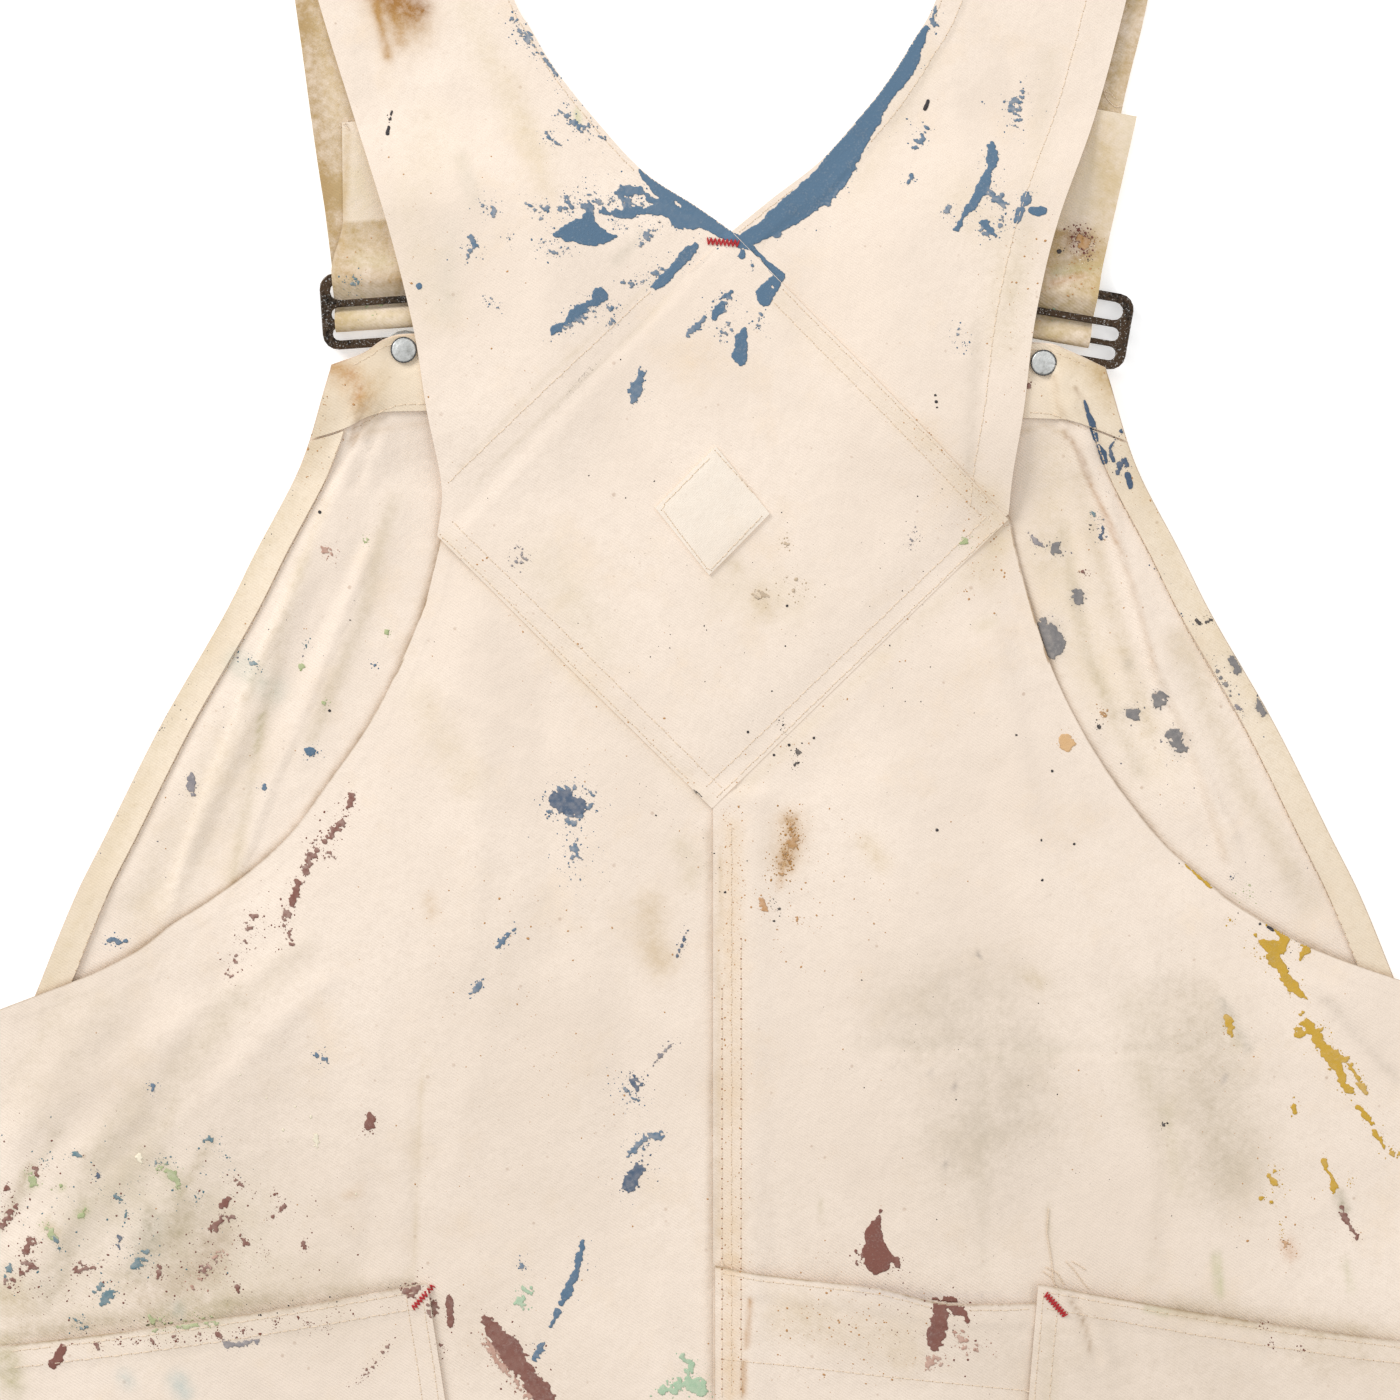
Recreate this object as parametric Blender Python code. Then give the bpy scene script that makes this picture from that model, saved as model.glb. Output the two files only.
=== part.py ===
"""Paint spattered bib overalls, laid flat on their front with the back upwards.

Lengths are in millimetres until they reach a mesh. x runs to the right and y
towards the shoulders, from the middle of the back at waist height. z is up
from the surface that the overalls lie on.
"""

import math

import bmesh
import bpy
from mathutils import Vector

MM = 0.001

# Cloth and the way its plies lie on each other
CLOTH = 1.0
GAP = 0.3
PLY = CLOTH + GAP
FRONT_Z = 0.0
LEG_BACK_Z = 1.5
BODY_BACK_Z = 2.75

# Main lengths, measured along the centre back from the waist
HEM_Y = -1060.0
CROTCH_Y = -300.0
YOKE_TIP_Y = 69.0
NECK_Y = 277.0
SHOULDER_Y = 470.0
BIB_HEIGHT = 240.0

# Seams and edges
EDGE_ROLL = 4.5
FELL_LEFT, FELL_RIGHT = -1.8, 11.5
UNDERLAP = 8.0
FACING_WIDTH = 12.5
TOP_FACING_DEPTH = 28.0

# Strap at the buckle, and the buckle itself
STRAP_WIDTH = 40.0
BUCKLE_WIDTH, BUCKLE_HEIGHT = 58.0, 27.5
BUCKLE_CORNER = 5.5
BUCKLE_SIDE = 3.6
BUCKLE_Z, BUCKLE_THICK = 2.7, 1.8
RING_DROP, RING_INNER, RING_OUTER = 16.0, 3.6, 6.2
BIB_LIFT = 5.1
CROSSING_GAP = 0.7

# Button and rivet that hold each buckle to the bib
BUTTON_RADIUS, BUTTON_HEAD = 8.0, 2.3
SHANK_RADIUS, SHANK_TOP = 2.6, 4.7
RIVET_RADIUS, RIVET_THICK = 4.5, 1.0


def table(columns, *rows):
    """Rows of numbers as dictionaries with the named columns."""
    return [dict(zip(columns.split(), row)) for row in rows]


# Outline of both legs and hips: seams as distances from the centre line
OUTSEAM = table(
    "y x",
    (-1060, 306), (-800, 303), (-500, 299), (-300, 294), (-150, 286), (-60, 277), (0, 270),
)
INSEAM = table("y x", (-1060, 78), (-800, 66), (-600, 52), (-420, 30), (-300, 4))

# Armholes: cut edge of each back panel, from the side seam up to the yoke
ARMHOLE_LEFT = table(
    "y x",
    (-8, -271), (1, -247), (10, -224), (18, -209), (27, -197), (36, -183), (47, -168),
    (60, -154), (79, -140), (99, -126), (120, -115), (142, -106), (167, -100), (176, -99),
)
ARMHOLE_RIGHT = table(
    "y x",
    (0, 270), (7, 246), (15, 223), (21, 209), (29, 195), (36, 184), (43, 176),
    (55, 162), (73, 147), (89, 136), (107, 126), (123, 119), (145, 112), (164, 107), (176, 105.5),
)

# Bib: distance of its side edge from the centre line
BIB_SIDE = table(
    "y x",
    (0, 247), (37, 232), (59, 221), (99, 201), (139, 178), (161, 167), (194, 150), (228, 139),
)
BIB_TOP = table(
    "x y",
    (-139, 228.5), (-127, 233), (-120.6, 237.4), (-113, 239.6), (-60, 239.5),
    (60, 237.5), (118, 236.4), (125, 234), (139, 227.5),
)

# Straps. Each row is one section across the band, from its end under the yoke
# up to the shoulder fold: a point on the armhole side and one on the neck side.
STRAP_LEFT = table(
    "armhole_x armhole_y neck_x neck_y",
    (-2.2, 69, 104.5, 173),
    (-52, 118, 56, 224),
    (-101, 167, 4.7, 277),
    (-99.4, 185, -8, 286),
    (-104.6, 212.5, -27, 298.5),
    (-109.4, 242, -45, 318),
    (-119, 280, -58.5, 335),
    (-132, 321, -67, 349),
    (-144, 360, -75, 364),
    (-159, 415, -93, 415),
    (-172, 470, -112, 470),
)
STRAP_RIGHT = table(
    "armhole_x armhole_y neck_x neck_y",
    (-0.5, 72.5, -96, 167),
    (52, 122, -48, 226),
    (104.6, 175, 4.7, 276.5),
    (106, 190, 20, 289),
    (109.6, 212, 36.7, 302),
    (114, 246, 51, 318),
    (122, 280, 60.5, 330),
    (135.7, 318, 70, 345),
    (147, 360, 79.5, 363),
    (160, 415, 95, 415),
    (172, 470, 112, 470),
)

# Strap from the shoulder fold to the buckle: its outer edge and its width
FRONT_STRAP_LEFT = table(
    "y x width", (470, -172, 60), (415, -161, 54), (360, -152.6, 48), (308, -145.4, 43), (270, -139.5, 40),
)
FRONT_STRAP_RIGHT = table(
    "y x width", (470, 172, 60), (415, 164, 54), (360, 155, 48), (322, 146, 44), (275, 137.5, 40),
)

# Way of the strap through the buckle: from under the frame, up round the third
# bar, under the second bar, over the top bar and back along itself
BUCKLE_WEAVE = table(
    "along z",
    (14, 0.5), (-5.0, 0.5), (-6.3, 0.95), (-6.95, 2.0), (-7.1, 3.3), (-6.9, 4.5), (-6.0, 5.25),
    (-4.8, 5.5), (-3.2, 5.35), (-1.2, 3.9), (0.3, 2.3), (1.5, 1.85), (3.9, 1.85), (5.2, 2.25),
    (7.6, 3.75), (9.9, 5.2), (12, 5.45), (14.3, 5.2), (18, 3.95), (23, 2.4), (28, 1.9),
)
FREE_END_LENGTH = 68.0

# Bars of the buckle between its slots, counted from the shoulder side
BUCKLE_SLOTS = table("low high", (3.95, 10.55), (-3.55, 1.45), (-10.55, -5.55))

# Each side's fastening: where the rivet is, how the buckle is turned about it,
# and where the strap's outer edge lies in the buckle
FASTENINGS = {
    "left": dict(x=-112.8, y=233.6, turn=4.0, strap=(-24.2, 15.3)),
    "right": dict(x=116.8, y=229.0, turn=-10.0, strap=(15.3, -24.2)),
}

# Soft folds of the back: a ridge along a line, with its half width and height
BACK_FOLDS = table(
    "x1 y1 x2 y2 width height",
    (-225, -8, -262, -62, 11, 1.7),
    (-196, -16, -246, -92, 13, 1.9),
    (-160, -6, -205, -82, 15, 1.5),
    (222, 2, 262, -48, 11, 1.7),
    (186, -8, 214, -72, 14, 1.4),
    (-88, 132, -84, 24, 16, 1.3),
    (94, 120, 132, 20, 16, 1.4),
    (-46, 84, -52, -40, 17, 0.9),
    (60, 70, 92, -64, 18, 1.0),
    (-30, -330, -232, -440, 20, 2.2),
    (36, -334, 226, -420, 20, 2.0),
    (-60, -420, -140, -640, 20, 1.6),
    (120, -470, 196, -700, 22, 1.8),
    (-236, -560, -120, -650, 18, 2.1),
    (246, -640, 110, -716, 18, 2.0),
    (-250, -800, -150, -1010, 20, 1.9),
    (230, -830, 170, -1030, 20, 1.7),
    (-104, -760, -186, -900, 18, 1.6),
    (100, -800, 200, -880, 17, 1.5),
)

# Folds of the bib, which run down from the seam of its top facing
BIB_FOLDS = table(
    "x1 y1 x2 y2 width height",
    (-134, 190, -214, 40, 8, 1.3),
    (-124, 192, -188, 60, 8, 1.1),
    (-116, 180, -150, 92, 7, 0.9),
    (134, 196, 206, 50, 8, 1.3),
    (122, 190, 172, 70, 8, 1.1),
    (112, 170, 132, 96, 7, 0.8),
)

# Patch pockets: the ends of their top and bottom edges, and how far the top gapes
POCKETS = {
    "pocket_left": dict(
        gape=1.2,
        edges=table("inner_x inner_y outer_x outer_y", (-104.8, -102, -262, -125), (-78, -276, -238, -300)),
    ),
    "pocket_brush": dict(
        gape=1.6,
        edges=table("inner_x inner_y outer_x outer_y", (13.6, -99.4, 118, -110.5), (14.6, -262, 112, -274)),
    ),
    "pocket_right": dict(
        gape=0.8,
        edges=table("inner_x inner_y outer_x outer_y", (115.2, -102, 264, -125), (101, -274, 240, -296)),
    ),
}
POCKET_CLIP = 0.13

# Label on the yoke: centre, half diagonals and turn
LABEL = dict(x=-2.0, y=176.0, across=20.6, along=23.2, turn=-3.0)

# Colours as the cloth and metal look now
COLOURS = {
    "drill_cloth": dict(colour=(0.92, 0.82, 0.69), roughness=0.9, metallic=0.0),
    "facing_cloth": dict(colour=(0.80, 0.70, 0.56), roughness=0.9, metallic=0.0),
    "strap_cloth": dict(colour=(0.88, 0.78, 0.63), roughness=0.9, metallic=0.0),
    "label_cloth": dict(colour=(0.95, 0.90, 0.83), roughness=0.85, metallic=0.0),
    "aged_steel": dict(colour=(0.10, 0.07, 0.05), roughness=0.45, metallic=0.8),
    "zinc": dict(colour=(0.58, 0.58, 0.55), roughness=0.4, metallic=0.9),
}


def ease(value, start, end):
    """0 before start and 1 after end, with a smooth step between."""
    t = min(1.0, max(0.0, (value - start) / (end - start)))
    return t * t * (3.0 - 2.0 * t)


def mix(a, b, share):
    return a + (b - a) * share


def read(rows, key, at, column):
    """A column of a table at a place between its rows, on one smooth curve."""
    rows = sorted(rows, key=lambda row: row[key])
    at = min(rows[-1][key], max(rows[0][key], at))
    k = max(i for i in range(len(rows) - 1) if rows[i][key] <= at)
    low, high = rows[k], rows[k + 1]
    before, after = rows[max(0, k - 1)], rows[min(len(rows) - 1, k + 2)]
    span = high[key] - low[key]
    t = (at - low[key]) / span
    rise_low = (high[column] - before[column]) / (high[key] - before[key]) * span
    rise_high = (after[column] - low[column]) / (after[key] - low[key]) * span
    return (
        (2 * t**3 - 3 * t**2 + 1) * low[column]
        + (t**3 - 2 * t**2 + t) * rise_low
        + (3 * t**2 - 2 * t**3) * high[column]
        + (t**3 - t**2) * rise_high
    )


def from_segment(x, y, x1, y1, x2, y2):
    """Distance of a point from a straight line between two others."""
    dx, dy = x2 - x1, y2 - y1
    t = ((x - x1) * dx + (y - y1) * dy) / (dx * dx + dy * dy)
    t = min(1.0, max(0.0, t))
    return math.hypot(x - x1 - t * dx, y - y1 - t * dy)


def fold_height(folds, x, y):
    """Height that the folds give the cloth at a point."""
    height = 0.0
    for fold in folds:
        away = from_segment(x, y, fold["x1"], fold["y1"], fold["x2"], fold["y2"])
        height += fold["height"] * math.exp(-((away / fold["width"]) ** 2))
    return height


def buckle_axes(side):
    """The buckle's middle, and its directions across and towards the shoulder."""
    hold = FASTENINGS[side]
    turn = math.radians(hold["turn"])
    across = Vector((math.cos(turn), math.sin(turn)))
    along = Vector((-math.sin(turn), math.cos(turn)))
    middle = Vector((hold["x"], hold["y"])) + along * RING_DROP
    return middle, across, along


def lift(x, y, flat, fall, top_y):
    """Share by which cloth is raised over the buckles: 1 above them, 0 away from them."""
    raised = 0.0
    for hold in FASTENINGS.values():
        away_x = max(0.0, abs(x - hold["x"]) - BUCKLE_WIDTH / 2)
        away_y = max(hold["y"] - 1.0 - y, 0.0, y - top_y)
        away = math.hypot(away_x, away_y)
        raised = max(raised, 1.0 - ease(away, flat, fall))
    return raised


def outseam(y):
    return read(OUTSEAM, "y", y, "x")


def inseam(y):
    return read(INSEAM, "y", y, "x")


def bib_side(y):
    return read(BIB_SIDE, "y", y, "x")


def bib_top(x):
    return read(BIB_TOP, "x", x, "y")


def bib_bottom_z(x, y):
    """Underside of the bib: on the surface, but raised over the buckles and folds."""
    folds = fold_height(BIB_FOLDS, x, y)
    return FRONT_Z + BIB_LIFT * lift(x, y, 12.0, 48.0, BIB_HEIGHT) + folds


def back_bottom_z(x, y):
    """Underside of the back panels, which lie on the front ones."""
    z = mix(LEG_BACK_Z, BODY_BACK_Z, ease(y, -90.0, -15.0))
    from_edge = outseam(y) - abs(x)
    if y < CROTCH_Y:
        from_edge = min(from_edge, abs(x) - inseam(y))
    if y > -10.0:
        from_edge = 100.0
    return z + fold_height(BACK_FOLDS, x, y) * ease(from_edge, 2.0, 30.0)


def strap_bottom_z(x, y):
    """Underside of the lower strap: on the back at the yoke, raised over the buckles."""
    over_seam = PLY * (1.0 - ease(y, YOKE_TIP_Y + 16.0, YOKE_TIP_Y + 40.0))
    yoke = back_bottom_z(x, y) + PLY + over_seam
    shoulder = mix(yoke, 2.95, ease(y, 200.0, 300.0))
    near_fold = mix(shoulder, 2.0, ease(y, 400.0, 455.0))
    raised = BIB_LIFT + 2 * PLY + 0.3
    return mix(near_fold, raised, lift(x, y, 19.0, 60.0, 264.0))


def make_material(name):
    look = COLOURS[name]
    material = bpy.data.materials.new(name)
    material.use_nodes = True
    shader = material.node_tree.nodes["Principled BSDF"]
    shader.inputs["Base Color"].default_value = (*look["colour"], 1.0)
    shader.inputs["Roughness"].default_value = look["roughness"]
    shader.inputs["Metallic"].default_value = look["metallic"]
    return material


def add_object(name, mesh, material, placed_at=(0.0, 0.0, 0.0), turn=0.0):
    """An object in the scene whose place is in millimetres from the waist's middle."""
    thing = bpy.data.objects.new(name, mesh)
    thing.data.materials.append(material)
    thing.location = Vector(placed_at) * MM - Vector((0.0, MIDDLE_Y * MM, 0.0))
    thing.rotation_euler.z = math.radians(turn)
    bpy.context.scene.collection.objects.link(thing)
    return thing


def make_cloth(name, across, along, place, material):
    """A cloth wall of across by along cells. place(i, j) is a point of its mid surface."""
    mesh = bpy.data.meshes.new(name)
    shape = bmesh.new()
    bmesh.ops.create_grid(shape, x_segments=across, y_segments=along, size=1.0)
    for vert in shape.verts:
        i = round((vert.co.x + 1.0) / 2.0 * across)
        j = round((vert.co.y + 1.0) / 2.0 * along)
        vert.co = Vector(place(i, j)) * MM
    shape.to_mesh(mesh)
    shape.free()
    mesh.shade_smooth()
    cloth = add_object(name, mesh, material)
    wall = cloth.modifiers.new("wall", "SOLIDIFY")
    wall.thickness = CLOTH * MM
    wall.offset = 0.0
    return cloth


def columns_between(left, right, near, far, count):
    """Places of count cells across a width, of which near and far give the edge cells."""
    share = min(1.0, (right - left) / 3.0 / max(sum(near), sum(far)))
    low = [left + sum(near[:n]) * share for n in range(len(near) + 1)]
    high = [right - sum(far[:n]) * share for n in range(len(far), -1, -1)]
    inner = count - len(near) - len(far)
    middle = [mix(low[-1], high[0], n / inner) for n in range(1, inner)]
    return low + middle + high


BACK_ROWS = (
    [HEM_Y, -1040] + list(range(-980, -420, 70)) + [-420, -370, -332, CROTCH_Y, CROTCH_Y + 14]
    + list(range(-255, -60, 33)) + [-58, -38, -20]
)
BACK_COLUMNS = 11
SEAM_CELLS = (EDGE_ROLL, FELL_RIGHT - FELL_LEFT - EDGE_ROLL, 3.0)


def make_back(side, material):
    """One back panel, from the leg's hem up to the yoke, with its armhole."""
    left = side == "left"
    armhole = ARMHOLE_LEFT if left else ARMHOLE_RIGHT
    top_y = 166.0 if left else 174.0
    tip_rows = [YOKE_TIP_Y - 6.0, YOKE_TIP_Y, YOKE_TIP_Y + (6.0 if left else 3.0)]
    arm_rows = [row["y"] for row in armhole if row["y"] < top_y and abs(row["y"] - YOKE_TIP_Y) > 8]
    rows = sorted(BACK_ROWS + arm_rows + tip_rows + [top_y])

    def outer_x(y):
        if y < armhole[0]["y"]:
            return outseam(y)
        return abs(read(armhole, "y", y, "x"))

    # Above its tip the yoke covers the panel's slanted edge by a few millimetres
    def inner_x(y):
        fork = ease(y, CROTCH_Y, CROTCH_Y + 14.0)
        if left:
            return mix(inseam(y), -UNDERLAP, fork) + max(0.0, y - YOKE_TIP_Y + 6.0) * 1.02
        return mix(inseam(y), FELL_LEFT, fork) + max(0.0, y - YOKE_TIP_Y - 3.0)

    def place(i, j):
        y = rows[j]
        column = BACK_COLUMNS - i if left else i
        spots = columns_between(inner_x(y), outer_x(y), SEAM_CELLS, (EDGE_ROLL,), BACK_COLUMNS)
        x = -spots[column] if left else spots[column]
        z = back_bottom_z(x, y) + CLOTH / 2
        if not left and column < 3:
            felled = ease(y, CROTCH_Y - 30.0, CROTCH_Y - 2.0)
            z += PLY * felled * (1.0 - ease(y, YOKE_TIP_Y + 4.0, YOKE_TIP_Y + 9.0))
        at_outseam = column == BACK_COLUMNS and y < -20
        at_inseam = column == 0 and y < CROTCH_Y
        if at_outseam or at_inseam:
            z = CLOTH / 2
        return x, y, z

    return make_cloth(f"back_{side}", BACK_COLUMNS, len(rows) - 1, place, material)


def make_front(side, material):
    """One front panel, flat on the surface inside the back one's rolled edges."""
    sign = -1 if side == "left" else 1
    rows = [HEM_Y + 1, -900, -740, -580, -420, CROTCH_Y, -200, -100, -45, -1]
    cells = 4

    def place(i, j):
        y = rows[j]
        fork = ease(y, CROTCH_Y, CROTCH_Y + 18.0)
        at_waist = ease(y, -50.0, -5.0)
        outer = mix(outseam(y) - EDGE_ROLL, bib_side(0.0), at_waist)
        inner = mix(inseam(y) + EDGE_ROLL, GAP, fork)
        across = i / cells if sign > 0 else 1 - i / cells
        return sign * mix(inner, outer, across), y, FRONT_Z + CLOTH / 2

    return make_cloth(f"front_{side}", cells, len(rows) - 1, place, material)


# Steps from the bib's side edge inwards, and the shares of its height
BIB_INSETS = [0.0, FACING_WIDTH / 2, FACING_WIDTH, 21.0, 30.0, 40.0, 51.0, 63.0, 78.0]
BIB_ALONG = [0, 0.14, 0.28, 0.42, 0.54, 0.64, 0.71, 0.76, 0.80, 0.84]
BIB_ALONG += [1 - TOP_FACING_DEPTH / BIB_HEIGHT, 0.94, 1.0]
BIB_CELLS = 20


def bib_point(column, along, above=0.0, inset=0.0):
    """A point of the bib's mid surface, moved up by above and in from its sides."""
    from_middle = column - BIB_CELLS // 2
    step = BIB_CELLS // 2 - abs(from_middle)

    def side_x(reach):
        if step < len(BIB_INSETS):
            return reach - max(inset, BIB_INSETS[step])
        rest = (BIB_CELLS // 2 - step) / (BIB_CELLS // 2 - len(BIB_INSETS) + 1)
        return (reach - BIB_INSETS[-1]) * rest

    y = along * bib_top(math.copysign(side_x(bib_side(BIB_HEIGHT)), from_middle))
    x = math.copysign(side_x(bib_side(y)), from_middle)
    return x, y, bib_bottom_z(x, y) + CLOTH / 2 + above


def make_bib(material):
    def place(i, j):
        return bib_point(i, BIB_ALONG[j])

    return make_cloth("bib", BIB_CELLS, len(BIB_ALONG) - 1, place, material)


def make_side_facing(side, material):
    """Turned and stitched edge strip down one side of the bib's inside."""
    first = 0 if side == "left" else BIB_CELLS - 2
    rows = BIB_ALONG[:-2]
    rows[0], rows[-1] = 0.004, rows[-1] - 0.004

    def place(i, j):
        return bib_point(first + i, rows[j], PLY, 0.6)

    return make_cloth(f"bib_facing_{side}", 2, len(rows) - 1, place, material)


def make_top_facing(material):
    """Turned hem across the top of the bib's inside, from side to side."""
    rows = [BIB_ALONG[-3], BIB_ALONG[-2], 0.997]

    def place(i, j):
        return bib_point(i, rows[j], PLY, 0.6)

    return make_cloth("bib_top_facing", BIB_CELLS, len(rows) - 1, place, material)


def smooth_rows(rows, parts):
    """Sections read from a table on smooth curves, with parts steps between its rows."""
    numbered = [dict(row, order=float(k)) for k, row in enumerate(rows)]
    steps = [k + n / parts[k] for k in range(len(rows) - 1) for n in range(parts[k])]
    steps.append(float(len(rows) - 1))
    return [{name: read(numbered, "order", s, name) for name in rows[0]} for s in steps]


def strap_sections(side):
    """Sections along a whole strap: yoke, shoulder fold, front, buckle and free end."""
    left = side == "left"
    band = STRAP_LEFT if left else STRAP_RIGHT
    front = FRONT_STRAP_LEFT if left else FRONT_STRAP_RIGHT
    inwards = 1 if left else -1
    sections = []
    for row in smooth_rows(band, [3, 3, 1, 2, 2, 2, 2, 2, 2, 2]):
        armhole = Vector((row["armhole_x"], row["armhole_y"]))
        neck = Vector((row["neck_x"], row["neck_y"]))
        sections.append((armhole, neck, None))
    top_z = strap_bottom_z(band[-1]["armhole_x"], SHOULDER_Y) + CLOTH / 2
    low_z = FRONT_Z + CLOTH / 2
    radius = (top_z - low_z) / 2
    for angle in (50, 10, -30, -70):
        bend = math.radians(angle)
        out = Vector((0.0, radius * math.cos(bend)))
        z = low_z + radius * (1 + math.sin(bend))
        sections.append((armhole + out, neck + out, z))
    for y in (462, 440, 415, 385, 360, 335, 308, 285):
        x = read(front, "y", y, "x")
        width = read(front, "y", y, "width")
        sections.append((Vector((x, y)), Vector((x + inwards * width, y)), low_z))
    middle, across, along = buckle_axes(side)
    outer, inner = FASTENINGS[side]["strap"]
    weave = BUCKLE_WEAVE + table("along z", (40, 1.85), (54, 1.85), (FREE_END_LENGTH, 1.85))
    for row in weave:
        lean = max(0.0, row["along"] - 20.0) * (0.06 if left else 0.05)
        shift = across * lean
        at = middle + along * row["along"] + shift
        sections.append((at + across * outer, at + across * inner, row["z"]))
    return sections


STRAP_COLUMNS = 11


def make_strap(side, material):
    """One strap in one piece. The left one lies on the right one at the yoke."""
    left = side == "left"
    sections = strap_sections(side)

    def place(i, j):
        armhole, neck, z = sections[j]
        share = i / STRAP_COLUMNS if left else 1 - i / STRAP_COLUMNS
        point = armhole.lerp(neck, share)
        if z is None:
            z = strap_bottom_z(point.x, point.y) + CLOTH / 2
            if left:
                z += (CLOTH + CROSSING_GAP) * (1.0 - ease(point.y, 285.0, 345.0))
        return point.x, point.y, z

    return make_cloth(f"strap_{side}", STRAP_COLUMNS, len(sections) - 1, place, material)


def make_pocket(name, material):
    """A patch pocket with clipped lower corners, sewn flat on the back."""
    top, bottom = POCKETS[name]["edges"]
    downs = [1.0, 1.0 - POCKET_CLIP, 0.7, 0.5, 0.3, 0.14, 0.0]
    cells = 8

    def place(i, j):
        down = downs[j]
        share = i / cells if top["outer_x"] > top["inner_x"] else 1 - i / cells
        clip = max(0.0, down - 1.0 + POCKET_CLIP)
        across = mix(clip, 1.0 - clip, share)
        high = mix(top["inner_x"], top["outer_x"], across), mix(top["inner_y"], top["outer_y"], across)
        low = mix(bottom["inner_x"], bottom["outer_x"], across), mix(bottom["inner_y"], bottom["outer_y"], across)
        x, y = mix(high[0], low[0], down), mix(high[1], low[1], down)
        z = back_bottom_z(x, y) + PLY + CLOTH / 2 + 0.2
        if name == "pocket_right":
            z += PLY * (1.0 - ease(share, 0.1, 0.26))
        gape = POCKETS[name]["gape"] * (1 - ease(down, 0.0, 0.3)) * math.sin(math.pi * share)
        return x, y, z + gape

    return make_cloth(name, cells, len(downs) - 1, place, material)


def make_label(material):
    """Small square label set on its corner, sewn to the yoke."""
    turn = math.radians(LABEL["turn"])
    cells = 3

    def place(i, j):
        u = (i + j) / cells - 1.0
        v = (j - i) / cells
        x = LABEL["x"] + LABEL["across"] * u * math.cos(turn) - LABEL["along"] * v * math.sin(turn)
        y = LABEL["y"] + LABEL["across"] * u * math.sin(turn) + LABEL["along"] * v * math.cos(turn)
        return x, y, strap_bottom_z(x, y) + PLY + CROSSING_GAP + CLOTH * 1.5

    return make_cloth("label", cells, cells, place, material)


def add_loop(curve, points):
    """A closed outline of a flat curve."""
    loop = curve.splines.new("POLY")
    loop.points.add(len(points) - 1)
    for spot, (x, y) in zip(loop.points, points):
        spot.co = (x * MM, y * MM, 0.0, 1.0)
    loop.use_cyclic_u = True


def arc(centre_x, centre_y, radius, start, end, steps):
    """Points of an arc, with its angles in degrees."""
    angles = [math.radians(mix(start, end, n / steps)) for n in range(steps + 1)]
    return [(centre_x + radius * math.cos(a), centre_y + radius * math.sin(a)) for a in angles]


def buckle_outline():
    """Rounded frame with the round eye that hangs from its lower bar."""
    half_w, half_h = BUCKLE_WIDTH / 2, BUCKLE_HEIGHT / 2
    cx, cy = half_w - BUCKLE_CORNER, half_h - BUCKLE_CORNER
    meet = math.degrees(math.asin((RING_DROP - half_h) / RING_OUTER))
    points = arc(cx, cy, BUCKLE_CORNER, 0, 90, 4)
    points += arc(-cx, cy, BUCKLE_CORNER, 90, 180, 4)
    points += arc(-cx, -cy, BUCKLE_CORNER, 180, 270, 4)
    points += arc(0, -RING_DROP, RING_OUTER, 180 - meet, 360 + meet, 10)
    points += arc(cx, -cy, BUCKLE_CORNER, 270, 360, 4)
    return points


def slot_outline(low, high):
    """A slot with round ends. The lowest one leaves room for the eye's upper rim."""
    radius = (high - low) / 2
    reach = BUCKLE_WIDTH / 2 - BUCKLE_SIDE - radius
    middle = (low + high) / 2
    points = arc(reach, middle, radius, -90, 90, 6) + arc(-reach, middle, radius, 90, 270, 6)
    if low < -8.0:
        for x in (-4.0, -2.0, 0.0, 2.0, 4.0):
            rim = -RING_DROP + math.sqrt(RING_OUTER**2 - x * x)
            points.append((x, max(low, rim)))
    return points


def make_buckle(side, material):
    """Pressed steel frame: three slots between its bars and an eye for the button."""
    curve = bpy.data.curves.new(f"buckle_{side}", "CURVE")
    curve.dimensions = "2D"
    curve.fill_mode = "BOTH"
    bevel = 0.45
    curve.extrude = (BUCKLE_THICK / 2 - bevel) * MM
    curve.bevel_depth = bevel * MM
    curve.bevel_resolution = 1
    curve.offset = -bevel * MM
    add_loop(curve, buckle_outline())
    for slot in BUCKLE_SLOTS:
        add_loop(curve, slot_outline(slot["low"], slot["high"]))
    add_loop(curve, arc(0, -RING_DROP, RING_INNER, 0, 360, 12)[:-1])
    middle, _, _ = buckle_axes(side)
    place = (middle.x, middle.y, BUCKLE_Z + BUCKLE_THICK / 2)
    return add_object(f"buckle_{side}", curve, material, place, FASTENINGS[side]["turn"])


def make_turned(name, profile, side, base_z, material, steps=16):
    """A round piece turned about its own axis, from (radius, height) points."""
    mesh = bpy.data.meshes.new(name)
    shape = bmesh.new()
    verts = [shape.verts.new((radius * MM, 0.0, height * MM)) for radius, height in profile]
    edges = [shape.edges.new(pair) for pair in zip(verts, verts[1:])]
    bmesh.ops.spin(
        shape, geom=verts + edges, cent=(0, 0, 0), axis=(0, 0, 1), angle=math.tau,
        steps=steps, use_merge=True,
    )
    bmesh.ops.remove_doubles(shape, verts=shape.verts[:], dist=0.00001)
    bmesh.ops.recalc_face_normals(shape, faces=shape.faces[:])
    shape.to_mesh(mesh)
    shape.free()
    mesh.shade_smooth()
    mesh.set_sharp_from_angle(angle=math.radians(40))
    hold = FASTENINGS[side]
    return add_object(name, mesh, material, (hold["x"], hold["y"], base_z))


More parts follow.
